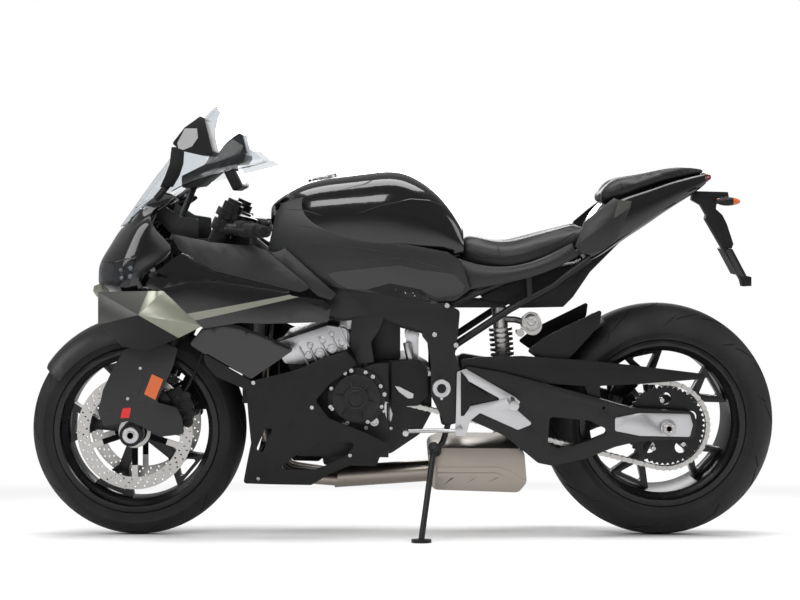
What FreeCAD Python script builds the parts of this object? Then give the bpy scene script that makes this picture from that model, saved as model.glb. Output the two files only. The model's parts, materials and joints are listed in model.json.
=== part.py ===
"""Sport motorcycle with a full fairing, parked on its side stand.

The machine is drawn upright: +X forward, +Y to its left, +Z up, millimetres, X zero midway between the axles and
Z zero on the floor. park() then leans it onto its stand and sets the origin under the middle of its outline.
Outlines that the photograph shows are named pixel coordinates, and seen() turns them into real places.
"""
import FreeCAD
import Part
import os
from math import acos, asin, atan2, cos, degrees, pi, radians, sin, sqrt, tan

V = FreeCAD.Vector
X_AXIS, Y_AXIS, Z_AXIS = V(1, 0, 0), V(0, 1, 0), V(0, 0, 1)
ORIGIN = V(0, 0, 0)

# Driving dimensions
WHEELBASE = 1457.0
LEAN = 11.0  # degrees, to the left, on the side stand
RAKE = 23.9  # degrees
TRAIL = 100.0
FRONT_TYRE_RADIUS = 300.0
FRONT_TYRE_HALF_WIDTH = 60.0
FRONT_CROWN_RADIUS = 64.0
REAR_TYRE_RADIUS = 325.0
REAR_TYRE_HALF_WIDTH = 99.0
REAR_CROWN_RADIUS = 104.0
BEAD_RADIUS = 219.0
TYRE_WALL = 9.0
FIT = 0.3  # gap between a curved piece and its seat
BORE_GAP = 0.05  # radial gap of a pin in its bore
RUNNING_GAP = 0.5  # radial gap of a turning piece on its pin
OVERRUN = 5.0  # what a cutting tool reaches past the surface it cuts

# How the photograph sees the machine
EYE_DISTANCE = 3400.0
EYE_HEIGHT = 942.0
EYE_ROW = 200.0
MID_COLUMN = 398.1
WHEELBASE_PIXELS = 515.2


def seen(column, row, side=0.0):
    """The place that the photograph shows at a pixel, on the plane that lies side to the left of the middle."""
    scale = WHEELBASE / WHEELBASE_PIXELS * (EYE_DISTANCE - side) / EYE_DISTANCE
    return V((MID_COLUMN - column) * scale, side, EYE_HEIGHT - (row - EYE_ROW) * scale)


def mirrored(shape):
    """The same piece on the other side of the machine."""
    return shape.mirror(ORIGIN, Y_AXIS)


def pair(shape):
    """A left piece and its right twin."""
    return Part.makeCompound([shape, mirrored(shape)])


def cylinder(radius, start, end):
    """A round bar between two points."""
    return Part.makeCylinder(radius, (end - start).Length, start, end - start)


def across(radius, centre, low, high):
    """A round bar across the machine, from side low to side high."""
    return cylinder(radius, V(centre.x, low, centre.z), V(centre.x, high, centre.z))


def ring_across(outer, inner, centre, low, high):
    """A round collar across the machine."""
    return across(outer, centre, low, high).cut(across(inner, centre, low - OVERRUN, high + OVERRUN))


def box(low, high):
    """A block between two corners."""
    return Part.makeBox(high.x - low.x, high.y - low.y, high.z - low.z, low)


def fused(shapes):
    """One solid from several that meet."""
    return shapes[0].fuse(shapes[1:]).removeSplitter()


def corner_arc(before, corner, after, radius):
    """The tangent arc that rounds a corner, no larger than its two runs allow."""
    one, two = before - corner, after - corner
    half_turn = (pi - one.getAngle(two)) / 2
    if half_turn < radians(0.5):
        return None
    shorter = min(one.Length, two.Length)
    fitted = min(radius, 0.45 * shorter / tan(half_turn))
    reach = fitted * tan(half_turn)
    one, two = one.normalize(), two.normalize()
    start, end = corner + one * reach, corner + two * reach
    inward = (one + two).normalize()
    middle = corner + inward * (fitted / cos(half_turn) - fitted)
    return start, middle, end


def bent_wire(points, radius, closed=False):
    """Straight runs joined by tangent arcs."""
    count = len(points)
    edges, last = [], None
    corners = range(count) if closed else range(1, count - 1)
    arcs = {i: corner_arc(points[i - 1], points[i], points[(i + 1) % count], radius) for i in corners}
    stops = []
    for i in range(count):
        arc = arcs.get(i)
        stops.append(arc if arc else (points[i], None, points[i]))
    for i, (start, middle, end) in enumerate(stops):
        if last is not None and (start - last).Length > 1e-6:
            edges.append(Part.LineSegment(last, start).toShape())
        if middle is not None:
            edges.append(Part.Arc(start, middle, end).toShape())
        last = end
    if closed and (stops[0][0] - last).Length > 1e-6:
        edges.append(Part.LineSegment(last, stops[0][0]).toShape())
    return Part.Wire(edges)


def tube(points, radius, bend):
    """A bent bar of round section."""
    path = bent_wire(points, bend)
    circle = Part.Wire(Part.makeCircle(radius, points[0], points[1] - points[0]))
    return path.makePipeShell([circle], True, False)


def plate(pixels, inner, outer, corner):
    """A flat plate from side inner to side outer, its outline as the photograph shows its outer face."""
    points = [seen(column, row, outer) for column, row in pixels]
    face = Part.Face(bent_wire(points, corner, closed=True))
    return face.extrude(V(0, inner - outer, 0))


def section(points, corner):
    """A closed outline through points, its corners rounded."""
    return bent_wire(points, corner, closed=True)


def smooth_wire(points):
    """A closed smooth curve through points."""
    curve = Part.BSplineCurve()
    curve.interpolate(Points=points, PeriodicFlag=True)
    return Part.Wire(curve.toShape())


def grid_normals(grid):
    """A unit normal at each point of a grid, from its neighbours."""
    rows, columns = len(grid), len(grid[0])
    normals = []
    for i in range(rows):
        line = []
        for j in range(columns):
            down = grid[min(i + 1, rows - 1)][j] - grid[max(i - 1, 0)][j]
            along = grid[i][min(j + 1, columns - 1)] - grid[i][max(j - 1, 0)]
            line.append(down.cross(along).normalize())
        normals.append(line)
    return normals


def surface(grid):
    """A smooth surface through a grid of points."""
    patch = Part.BSplineSurface()
    patch.interpolate(grid)
    return patch


def sheet(grid, wall):
    """A curved panel: a smooth surface through a grid of points, and its twin a wall's thickness away."""
    normals = grid_normals(grid)
    twin = [[p - n * wall for p, n in zip(row, line)] for row, line in zip(grid, normals)]
    outer, inner = surface(grid), surface(twin)
    faces = [outer.toShape(), inner.toShape()]
    u0, u1, v0, v1 = outer.bounds()
    for one, two in (
        (outer.uIso(u0), inner.uIso(u0)),
        (outer.uIso(u1), inner.uIso(u1)),
        (outer.vIso(v0), inner.vIso(v0)),
        (outer.vIso(v1), inner.vIso(v1)),
    ):
        faces.append(Part.makeRuledSurface(one.toShape(), two.toShape()))
    shell = Part.makeShell(faces)
    shell.sewShape()
    solid = Part.Solid(shell)
    if solid.Volume < 0:
        solid.reverse()
    return solid


def seen_grid(lines, half_width):
    """Grid lines whose points are a column, a row and a share of the half width."""
    return [[seen(c, r, share * half_width) for c, r, share in line] for line in lines]


def both_sides(lines):
    """Grid lines that start on the middle, continued to the right side."""
    full = []
    for line in lines:
        right = [V(p.x, -p.y, p.z) for p in reversed(line[1:])]
        full.append(right + list(line))
    return full


def turned(shape, centre, angle):
    """A piece turned about an axle."""
    copy = shape.copy()
    copy.rotate(centre, Y_AXIS, angle)
    return copy


# Wheels
FRONT_AXLE_LIFT = FRONT_CROWN_RADIUS / cos(radians(LEAN)) - FRONT_CROWN_RADIUS
REAR_AXLE_LIFT = REAR_CROWN_RADIUS / cos(radians(LEAN)) - REAR_CROWN_RADIUS
FRONT_AXLE = V(WHEELBASE / 2, 0, FRONT_TYRE_RADIUS + FRONT_AXLE_LIFT)
REAR_AXLE = V(-WHEELBASE / 2, 0, REAR_TYRE_RADIUS + REAR_AXLE_LIFT)
RIM_LIP_RADIUS = 228.0
RIM_WALL = 6.0
RIM_BAND_RADIUS = 197.0
FRONT_RIM_HALF_WIDTH = 50.0
REAR_RIM_HALF_WIDTH = 82.0
SPOKES = 5
SPOKE_HALF_DEPTH = 13.0
SPOKE_SPLIT_RADIUS = 118.0
SPOKE_ARM_WIDTH = 15.0
SPOKE_ARM_SPREAD = 13.0  # degrees each side of the spoke
FRONT_SPOKE_TURN = 14.0  # degrees
REAR_SPOKE_TURN = 12.0
FRONT_HUB_RADIUS = 34.0
FRONT_HUB_HALF_WIDTH = 62.0
REAR_HUB_RADIUS = 46.0
REAR_HUB_HALF_WIDTH = 96.0
FRONT_AXLE_RADIUS = 12.5
REAR_AXLE_RADIUS = 14.0
AXLE_BORE_WALL = 4.0
FRONT_DISC_RADIUS = 160.0
FRONT_DISC_BAND = 34.0
FRONT_DISC_SIDE = 70.0
DISC_THICKNESS = 5.0
REAR_DISC_RADIUS = 110.0
REAR_DISC_BAND = 28.0
REAR_DISC_SIDE = 104.0
CARRIER_ARMS = 5
CARRIER_ARM_WIDTH = 16.0
CHAIN_SIDE = 116.0
CHAIN_WIDTH = 21.0
CHAIN_PITCH = 15.875
REAR_TEETH = 46
FRONT_TEETH = 17
PLATE_HALF_HEIGHT = 7.5
PLATE_WAIST = 5.6
SPROCKET_THICKNESS = 6.0
SPROCKET_GAP = 0.8
TOOTH_DEPTH = 6.0
FRONT_SPROCKET_CENTRE = seen(410.5, 381.8)
CROWN_STEPS = 5
TREAD_EDGE_SHARE = 0.99


def tyre(axle, radius, half_width, crown, rim_half_width):
    """A hollow tyre: a round crown, straight sidewalls and beads that seat on the rim."""
    centre = radius - crown
    edge = asin(min(TREAD_EDGE_SHARE, half_width / crown))
    lean = radians(LEAN)
    angles = [0, lean] + [lean + (edge - lean) * (i + 1) / (CROWN_STEPS - 1) for i in range(CROWN_STEPS - 1)]
    outer = [V(0, crown * sin(a), centre + crown * cos(a)) for a in angles]
    inner_crown = crown - TYRE_WALL
    inner = [V(0, inner_crown * sin(a), centre + inner_crown * cos(a)) for a in (0, edge / 2, edge)]
    flange = V(0, rim_half_width - FIT, RIM_LIP_RADIUS + 1.0)
    bead_out = V(0, rim_half_width - FIT, BEAD_RADIUS + FIT)
    bead_in = V(0, rim_half_width - TYRE_WALL, BEAD_RADIUS + FIT)
    profile = [V(0, -p.y, p.z) for p in reversed(outer[1:])] + outer + [flange, bead_out, bead_in]
    profile += list(reversed(inner)) + [V(0, -p.y, p.z) for p in inner[1:]]
    profile += [V(0, -p.y, p.z) for p in (bead_in, bead_out, flange)]
    face = Part.Face(Part.makePolygon(profile + profile[:1]))
    ring = face.revolve(ORIGIN, Y_AXIS, 360)
    ring.translate(axle)
    return ring


def rim(axle, half_width, hub_radius, hub_half_width, bore, turn):
    """A cast wheel: a drop-centre rim on forked spokes and a bored hub."""
    lip = half_width + RIM_WALL
    outline = [
        V(0, -lip, RIM_LIP_RADIUS), V(0, -half_width, RIM_LIP_RADIUS), V(0, -half_width, BEAD_RADIUS),
        V(0, -half_width + 3 * RIM_WALL, BEAD_RADIUS), V(0, -half_width + 5 * RIM_WALL, RIM_BAND_RADIUS + RIM_WALL),
        V(0, half_width - 5 * RIM_WALL, RIM_BAND_RADIUS + RIM_WALL), V(0, half_width - 3 * RIM_WALL, BEAD_RADIUS),
        V(0, half_width, BEAD_RADIUS), V(0, half_width, RIM_LIP_RADIUS), V(0, lip, RIM_LIP_RADIUS),
        V(0, lip, BEAD_RADIUS - RIM_WALL), V(0, half_width - 2 * RIM_WALL, BEAD_RADIUS - RIM_WALL),
        V(0, half_width - 4 * RIM_WALL, RIM_BAND_RADIUS), V(0, -half_width + 4 * RIM_WALL, RIM_BAND_RADIUS),
        V(0, -half_width + 2 * RIM_WALL, BEAD_RADIUS - RIM_WALL), V(0, -lip, BEAD_RADIUS - RIM_WALL),
    ]
    band = Part.Face(Part.makePolygon(outline + outline[:1])).revolve(ORIGIN, Y_AXIS, 360)
    hub = across(hub_radius, ORIGIN, -hub_half_width, hub_half_width)
    pieces = [band, hub]
    for i in range(SPOKES):
        spoke = forked_spoke(hub_radius)
        pieces.append(turned(spoke, ORIGIN, turn + 360.0 * i / SPOKES))
    wheel = fused(pieces).cut(across(bore, ORIGIN, -hub_half_width - OVERRUN, hub_half_width + OVERRUN))
    wheel.translate(axle)
    return wheel


def polar(radius, angle):
    """A point of the wheel's plane, the angle in degrees from straight up."""
    return V(radius * sin(radians(angle)), 0, radius * cos(radians(angle)))


def forked_spoke(hub_radius):
    """One spoke that forks into two arms before it meets the rim."""
    reach = RIM_BAND_RADIUS + RIM_WALL / 2
    half = SPOKE_ARM_WIDTH / 2
    spread = SPOKE_ARM_SPREAD
    outer_angle = spread + degrees(half / reach)
    inner_angle = spread - degrees(half / reach)
    root = degrees(asin(min(1, 1.3 * SPOKE_ARM_WIDTH / hub_radius)))
    outline = [
        polar(hub_radius * cos(radians(root)), -root), polar(SPOKE_SPLIT_RADIUS, -degrees(half / SPOKE_SPLIT_RADIUS) - 3.0),
        polar(reach, -outer_angle - 2.0), polar(reach, outer_angle + 2.0),
        polar(SPOKE_SPLIT_RADIUS, degrees(half / SPOKE_SPLIT_RADIUS) + 3.0), polar(hub_radius * cos(radians(root)), root),
    ]
    window = [polar(SPOKE_SPLIT_RADIUS + 1.2 * SPOKE_ARM_WIDTH, 0), polar(reach - SPOKE_ARM_WIDTH, -inner_angle),
              polar(reach - SPOKE_ARM_WIDTH, inner_angle)]
    body = Part.Face(Part.makePolygon(outline + outline[:1])).cut(Part.Face(section(window, SPOKE_ARM_WIDTH / 3)))
    solid = body.extrude(V(0, 2 * SPOKE_HALF_DEPTH, 0))
    solid.translate(V(0, -SPOKE_HALF_DEPTH, 0))
    return solid


def disc(axle, radius, band, side, hub_radius):
    """A brake disc on its carrier, side being the place of its middle plane."""
    low, high = side - DISC_THICKNESS / 2, side + DISC_THICKNESS / 2
    blade = ring_across(radius, radius - band, ORIGIN, low, high)
    boss = ring_across(hub_radius + 2 * AXLE_BORE_WALL, hub_radius + FIT, ORIGIN, low, high)
    pieces = [blade, boss]
    for i in range(CARRIER_ARMS):
        arm = box(V(-CARRIER_ARM_WIDTH / 2, low, hub_radius + AXLE_BORE_WALL),
                  V(CARRIER_ARM_WIDTH / 2, high, radius - band + OVERRUN))
        pieces.append(turned(arm, ORIGIN, 360.0 * (i + 0.5) / CARRIER_ARMS))
    made = fused(pieces)
    made.translate(axle)
    return made


def sprocket(centre, teeth, side, bore):
    """A toothed wheel that runs inside the chain."""
    pitch_radius = CHAIN_PITCH / 2 / sin(pi / teeth)
    tip = pitch_radius - PLATE_HALF_HEIGHT - SPROCKET_GAP
    points = []
    for i in range(teeth):
        step = 360.0 / teeth
        points += [polar(tip, (i - 0.14) * step), polar(tip, (i + 0.14) * step), polar(tip - TOOTH_DEPTH, (i + 0.5) * step)]
    blank = Part.Face(Part.makePolygon(points + points[:1])).extrude(V(0, SPROCKET_THICKNESS, 0))
    blank.translate(V(0, side - SPROCKET_THICKNESS / 2, 0))
    blank = blank.cut(across(bore, ORIGIN, side - SPROCKET_THICKNESS, side + SPROCKET_THICKNESS))
    blank.translate(V(centre.x, 0, centre.z))
    return blank


def chain_points():
    """Pin and waist places round both sprockets, each with the outward direction there."""
    big = CHAIN_PITCH / 2 / sin(pi / REAR_TEETH)
    small = CHAIN_PITCH / 2 / sin(pi / FRONT_TEETH)
    rear, front = V(REAR_AXLE.x, 0, REAR_AXLE.z), V(FRONT_SPROCKET_CENTRE.x, 0, FRONT_SPROCKET_CENTRE.z)
    span = front - rear
    slope = atan2(span.z, span.x)
    lean = asin((big - small) / span.Length)
    run = sqrt(span.Length ** 2 - (big - small) ** 2)
    top, bottom = slope + pi / 2 - lean, slope - pi / 2 + lean
    front_arc, rear_arc = (top - bottom) * small, (2 * pi - (top - bottom)) * big
    length = 2 * run + front_arc + rear_arc
    count = 2 * int(round(length / CHAIN_PITCH / 2)) * 2
    places = []
    for i in range(count):
        s = length * i / count
        if s < run:
            out = V(cos(top), 0, sin(top))
            start = rear + out * big
            places.append((start + (front + out * small - start) * (s / run), out))
        elif s < run + front_arc:
            a = top - (s - run) / small
            out = V(cos(a), 0, sin(a))
            places.append((front + out * small, out))
        elif s < 2 * run + front_arc:
            out = V(cos(bottom), 0, sin(bottom))
            start = front + out * small
            places.append((start + (rear + out * big - start) * ((s - run - front_arc) / run), out))
        else:
            a = bottom - (s - 2 * run - front_arc) / big
            out = V(cos(a), 0, sin(a))
            places.append((rear + out * big, out))
    return places


def chain():
    """The drive chain as one fixed loop, its link plates in its outline."""
    places = chain_points()
    heights = [PLATE_HALF_HEIGHT, PLATE_WAIST]
    outside = [p + out * heights[i % 2] for i, (p, out) in enumerate(places)]
    inside = [p - out * heights[i % 2] for i, (p, out) in enumerate(places)]
    loop = Part.Face(Part.makePolygon(outside + outside[:1])).cut(Part.Face(Part.makePolygon(inside + inside[:1])))
    band = loop.extrude(V(0, CHAIN_WIDTH, 0))
    band.translate(V(0, CHAIN_SIDE - CHAIN_WIDTH / 2, 0))
    return band


def wheels():
    """Both wheels with what turns with them, and the chain."""
    front_bore = FRONT_AXLE_RADIUS + RUNNING_GAP
    rear_bore = REAR_AXLE_RADIUS + RUNNING_GAP
    front_disc = disc(FRONT_AXLE, FRONT_DISC_RADIUS, FRONT_DISC_BAND, FRONT_DISC_SIDE, FRONT_HUB_RADIUS * 0.8)
    step = ring_across(FRONT_HUB_RADIUS * 0.8, front_bore, FRONT_AXLE, FRONT_HUB_HALF_WIDTH,
                       FRONT_DISC_SIDE + DISC_THICKNESS / 2)
    front_rim = rim(FRONT_AXLE, FRONT_RIM_HALF_WIDTH, FRONT_HUB_RADIUS, FRONT_HUB_HALF_WIDTH, front_bore, FRONT_SPOKE_TURN)
    rear_rim = rim(REAR_AXLE, REAR_RIM_HALF_WIDTH, REAR_HUB_RADIUS, REAR_HUB_HALF_WIDTH, rear_bore, REAR_SPOKE_TURN)
    neck = REAR_HUB_RADIUS * 0.8
    left_step = ring_across(neck, rear_bore, REAR_AXLE, REAR_HUB_HALF_WIDTH, CHAIN_SIDE + SPROCKET_THICKNESS / 2)
    right_step = ring_across(neck, rear_bore, REAR_AXLE, -REAR_DISC_SIDE - DISC_THICKNESS / 2, -REAR_HUB_HALF_WIDTH)
    rear_sprocket = sprocket(REAR_AXLE, REAR_TEETH, CHAIN_SIDE, neck + FIT)
    for i in range(SPOKES):
        hole = turned(across(REAR_HUB_RADIUS * 0.36, V(0, 0, REAR_HUB_RADIUS * 1.6), 0, 2 * CHAIN_SIDE), ORIGIN, 360.0 * i / SPOKES)
        hole.translate(REAR_AXLE)
        rear_sprocket = rear_sprocket.cut(hole)
    return {
        "front_tyre": tyre(FRONT_AXLE, FRONT_TYRE_RADIUS, FRONT_TYRE_HALF_WIDTH, FRONT_CROWN_RADIUS, FRONT_RIM_HALF_WIDTH),
        "front_rim": fused([front_rim, step, mirrored(step)]),
        "front_brake_discs": pair(front_disc),
        "rear_tyre": tyre(REAR_AXLE, REAR_TYRE_RADIUS, REAR_TYRE_HALF_WIDTH, REAR_CROWN_RADIUS, REAR_RIM_HALF_WIDTH),
        "rear_rim": fused([rear_rim, left_step, right_step]),
        "rear_brake_disc": disc(REAR_AXLE, REAR_DISC_RADIUS, REAR_DISC_BAND, -REAR_DISC_SIDE, neck),
        "rear_sprocket": rear_sprocket,
        "drive_chain": chain(),
        "front_sprocket": sprocket(FRONT_SPROCKET_CENTRE, FRONT_TEETH, CHAIN_SIDE, REAR_AXLE_RADIUS),
    }


# Front end, drawn in the steering frame: x ahead of the steering axis, y to the left, z up along the axis
FORK_OFFSET = 30.3
FORK_HALF_SPACING = 104.0
FORK_TUBE_RADIUS = 27.0
STANCHION_RADIUS = 22.0
FORK_TUBE_LOW = 352.0
FORK_TUBE_HIGH = 690.0
FOOT_RADIUS = 31.0
FOOT_HALF_WIDTH = 22.0
LOWER_CLAMP_LOW = 470.0
LOWER_CLAMP_HEIGHT = 34.0
UPPER_CLAMP_LOW = 646.0
UPPER_CLAMP_HEIGHT = 22.0
CLAMP_WALL = 10.0
STEM_RADIUS = 14.5
STEM_HOLE_RADIUS, STEM_HOLE_DEPTH = 7.0, 40.0
HEAD_TUBE_WALL = 12.0
CLIP_LOW = 606.0
CLIP_HEIGHT = 32.0
BAR_RADIUS = 11.0
GRIP_RADIUS = 16.5
GRIP_LENGTH = 122.0
BAR_END = seen(266.0, 232.0, 365.0)
BAR_END_LENGTH = 22.0
STEERING_FOOT = FRONT_AXLE - V(FORK_OFFSET * cos(radians(RAKE)), 0, FORK_OFFSET * sin(radians(RAKE)))
STEERING_FRAME = FreeCAD.Placement(STEERING_FOOT, FreeCAD.Rotation(Y_AXIS, -RAKE))
LEG_FOOT = V(FORK_OFFSET, FORK_HALF_SPACING, 0)
CALIPER_SLOT_GAP = 4.0
CALIPER_WALL = 14.0


def steered(shape):
    """A piece drawn in the steering frame, set in the machine."""
    copy = shape.copy()
    copy.Placement = STEERING_FRAME.multiply(copy.Placement)
    return copy


def steering_point(point):
    """A place of the machine, given in the steering frame."""
    return STEERING_FRAME.inverse().multVec(point)


def on_leg(height):
    """A place on the left fork leg."""
    return LEG_FOOT + Z_AXIS * height


def clamp_plate(low, height, hole):
    """A fork clamp, its ends round the legs."""
    reach = FORK_TUBE_RADIUS + CLAMP_WALL
    ends = [Part.makeCylinder(reach, height, V(FORK_OFFSET, side * FORK_HALF_SPACING, low)) for side in (1, -1)]
    hub = Part.makeCylinder(reach, height, V(0, 0, low))
    corners = [V(FORK_OFFSET + reach * 0.6, FORK_HALF_SPACING, low), V(FORK_OFFSET * 0.4, 0, low) + X_AXIS * reach * 0.9,
               V(FORK_OFFSET + reach * 0.6, -FORK_HALF_SPACING, low), V(FORK_OFFSET - reach * 0.9, -FORK_HALF_SPACING, low),
               V(-reach * 0.9, 0, low), V(FORK_OFFSET - reach * 0.9, FORK_HALF_SPACING, low)]
    web = Part.Face(Part.makePolygon(corners + corners[:1])).extrude(V(0, 0, height))
    body = fused(ends + [hub, web])
    for side in (1, -1):
        place = V(FORK_OFFSET, side * FORK_HALF_SPACING, low - OVERRUN)
        body = body.cut(Part.makeCylinder(FORK_TUBE_RADIUS + hole, height + 2 * OVERRUN, place))
    return body


def front_caliper():
    """A brake caliper that straddles the disc behind the leg."""
    slot = DISC_THICKNESS / 2 + CALIPER_SLOT_GAP
    low, high = FRONT_DISC_SIDE - slot - CALIPER_WALL, FRONT_DISC_SIDE + slot + CALIPER_WALL
    outline = [(-64, 52), (-34, 54), (-26, 92), (-36, 138), (-62, 168), (-114, 146), (-134, 92), (-108, 52)]
    points = [V(FORK_OFFSET + x, low, z) for x, z in outline]
    body = Part.Face(section(points, CALIPER_WALL)).extrude(V(0, high - low, 0))
    blade = Part.makeCylinder(FRONT_DISC_RADIUS + CALIPER_SLOT_GAP, 2 * slot,
                              V(FORK_OFFSET, FRONT_DISC_SIDE - slot, 0), Y_AXIS)
    return body.cut(blade)


LUG_OUTLINE = [(0, 40), (-24, 46), (-58, 100), (-58, 128), (-34, 140), (0, 120)]
LUG_DEPTH = 12.0


def fork_foot(side):
    """The lower fork leg on one side, with its caliper lug and axle bore."""
    heel = V(FORK_OFFSET, side * FORK_HALF_SPACING, 0)
    stanchion = cylinder(STANCHION_RADIUS, heel, heel + Z_AXIS * FORK_TUBE_LOW)
    foot = Part.makeCylinder(FOOT_RADIUS, 2 * FOOT_HALF_WIDTH, heel - Y_AXIS * FOOT_HALF_WIDTH, Y_AXIS)
    near = FRONT_DISC_SIDE + DISC_THICKNESS / 2 + CALIPER_SLOT_GAP + CALIPER_WALL
    lug = Part.Face(section([V(FORK_OFFSET + x, side * near, z) for x, z in LUG_OUTLINE], 6.0))
    bore = Part.makeCylinder(FRONT_AXLE_RADIUS + BORE_GAP, 4 * FOOT_HALF_WIDTH, heel - Y_AXIS * 2 * FOOT_HALF_WIDTH, Y_AXIS)
    return fused([stanchion, foot, lug.extrude(V(0, side * LUG_DEPTH, 0))]).cut(bore)


HOSE_RADIUS, HOSE_BEND = 4.0, 24.0
HOSE_ROUTE = [(-52, 84, 140), (-56, 90, 196), (-58, 104, 262), (-42, 96, 372), (-8, 46, 424), (-8, 46, 470)]


def brake_hoses(caliper):
    """A hose from each caliper up behind the leg to the lower clamp."""
    hose = largest(tube([V(*p) for p in HOSE_ROUTE], HOSE_RADIUS, HOSE_BEND).cut(caliper))
    return pair(hose)


def front_end():
    """Forks, clamps, bars, brakes and mudguard: all that steers with the front wheel."""
    leg = fused([cylinder(FORK_TUBE_RADIUS, on_leg(FORK_TUBE_LOW), on_leg(FORK_TUBE_HIGH)),
                 cylinder(FORK_TUBE_RADIUS * 0.75, on_leg(FORK_TUBE_HIGH), on_leg(FORK_TUBE_HIGH + CLAMP_WALL))])
    lower, right_lower = fork_foot(1), fork_foot(-1)
    stem = cylinder(STEM_RADIUS, V(0, 0, LOWER_CLAMP_LOW), V(0, 0, UPPER_CLAMP_LOW))
    stem_hole = cylinder(STEM_HOLE_RADIUS, V(0, 0, LOWER_CLAMP_LOW - OVERRUN), V(0, 0, LOWER_CLAMP_LOW + STEM_HOLE_DEPTH))
    lower_clamp = fused([clamp_plate(LOWER_CLAMP_LOW, LOWER_CLAMP_HEIGHT, FIT / 2), stem]).cut(stem_hole)
    nut = Part.makeCylinder(STEM_RADIUS, CLAMP_WALL * 0.6, V(0, 0, UPPER_CLAMP_LOW + UPPER_CLAMP_HEIGHT))
    upper_clamp = fused([clamp_plate(UPPER_CLAMP_LOW, UPPER_CLAMP_HEIGHT, FIT / 2), nut])
    axle_reach = FORK_HALF_SPACING + FOOT_HALF_WIDTH + 6.0
    axle = Part.makeCylinder(FRONT_AXLE_RADIUS, 2 * axle_reach, V(FORK_OFFSET, -axle_reach, 0), Y_AXIS)
    axle = axle.cut(Part.makeCylinder(FRONT_AXLE_RADIUS - AXLE_BORE_WALL, 2 * axle_reach + 2 * OVERRUN,
                                      V(FORK_OFFSET, -axle_reach - OVERRUN, 0), Y_AXIS))
    caliper = front_caliper().cut(lower)
    hoses = brake_hoses(caliper)
    made = {
        "brake_hoses": hoses, "fork_tubes": pair(leg), "fork_lowers": Part.makeCompound([lower, right_lower]), "lower_clamp": lower_clamp, "upper_clamp": upper_clamp,
        "front_axle": axle, "front_calipers": pair(caliper),
    }
    made = {name: steered(shape) for name, shape in made.items()}
    made.update(handlebars())
    made["front_mudguard"] = front_mudguard()
    return made


def bar_places():
    """Where the left bar leaves its clip, and its outer end, in the machine's frame."""
    root = STEERING_FRAME.multVec(on_leg(CLIP_LOW + CLIP_HEIGHT / 2))
    return root, BAR_END


BAR_SWEEP_RADIUS = 28.0
BAR_SWEEP_ANGLES = (10.0, 15.0, 20.0, 25.0)


def bar_sweep():
    """The room that the left bar and its switches take as the bars turn to the stops."""
    root, end = bar_places()
    bar = cylinder(BAR_SWEEP_RADIUS, root, end)
    axis = STEERING_FRAME.Rotation.multVec(Z_AXIS)
    swept = []
    for angle in BAR_SWEEP_ANGLES:
        copy = bar.copy()
        copy.rotate(STEERING_FOOT, axis, angle)
        swept.append(copy)
    return swept


def handlebars():
    """Clip-on bars, grips, switches, levers and the brake fluid pot."""
    root, end = bar_places()
    along = (end - root).normalize()
    clip = Part.makeCylinder(FORK_TUBE_RADIUS + CLAMP_WALL * 0.8, CLIP_HEIGHT, on_leg(CLIP_LOW))
    clip_hole = Part.makeCylinder(FORK_TUBE_RADIUS + FIT / 2, CLIP_HEIGHT + 2 * OVERRUN, on_leg(CLIP_LOW - OVERRUN))
    bar = cylinder(BAR_RADIUS, root, end)
    bar = fused([steered(clip), bar]).cut(steered(clip_hole))
    grip_start = end - along * (GRIP_LENGTH + BAR_END_LENGTH)
    grip = cylinder(GRIP_RADIUS, grip_start, end - along * BAR_END_LENGTH)
    collar = cylinder(GRIP_RADIUS + 4.0, grip_start, grip_start + along * 8.0)
    weight = cylinder(GRIP_RADIUS - 2.5, end - along * BAR_END_LENGTH, end + along * 2.0)
    hollow = cylinder(BAR_RADIUS + 0.05, root, end)
    grip = fused([grip, collar, weight]).cut(hollow)
    ahead = V(along.y, -along.x, 0).normalize()
    switch_end = grip_start - along * 1.0
    switch = fused([cylinder(21.0, switch_end - along * 46.0, switch_end),
                    cylinder(13.0, switch_end - along * 24.0 + ahead * 12.0, switch_end - along * 24.0 + ahead * 42.0)])
    perch = switch_end - along * 24.0 + ahead * 42.0
    tip = end + ahead * 48.0 - along * 20.0
    lever = tube([perch - along * 4.0, perch + along * 34.0 + ahead * 8.0, perch + along * 90.0 + ahead * 2.0, tip], 5.5, 30.0)
    controls = fused([switch, lever]).cut(cylinder(BAR_RADIUS + 0.05, root - along * 20, end))
    pot_foot = mirrored_point(perch - along * 6.0)
    pot = Part.makeCylinder(17.0, 32.0, pot_foot + V(0, 0, 4.0))
    right = mirrored(controls).fuse(pot).removeSplitter()
    return {
        "handlebars": pair(bar), "grips": pair(grip), "left_controls": controls, "right_controls": right,
    }


def mirrored_point(point):
    """The same place on the right."""
    return V(point.x, -point.y, point.z)


GUARD_GAP = 13.0
GUARD_WALL = 3.0
GUARD_FRONT_ANGLE = 34.0
GUARD_SWEEP = 70.0
SHIELD_SIDE = FORK_HALF_SPACING + FORK_TUBE_RADIUS + FIT
SHIELD_WALL = 5.0
GUARD_BOSS_RADIUS, GUARD_BOSS_HEIGHT = 6.0, 190.0
GUARD_FOOT_BOSS = seen(146.0, 422.0, SHIELD_SIDE)
SHIELD_PIXELS = [(125, 349), (163, 343), (178, 348), (173, 366), (166, 382), (156, 402), (177, 408), (182, 418),
                 (184, 434), (160, 437), (139, 425), (128, 421), (104, 427), (98, 412), (103, 390), (114, 366)]


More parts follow.
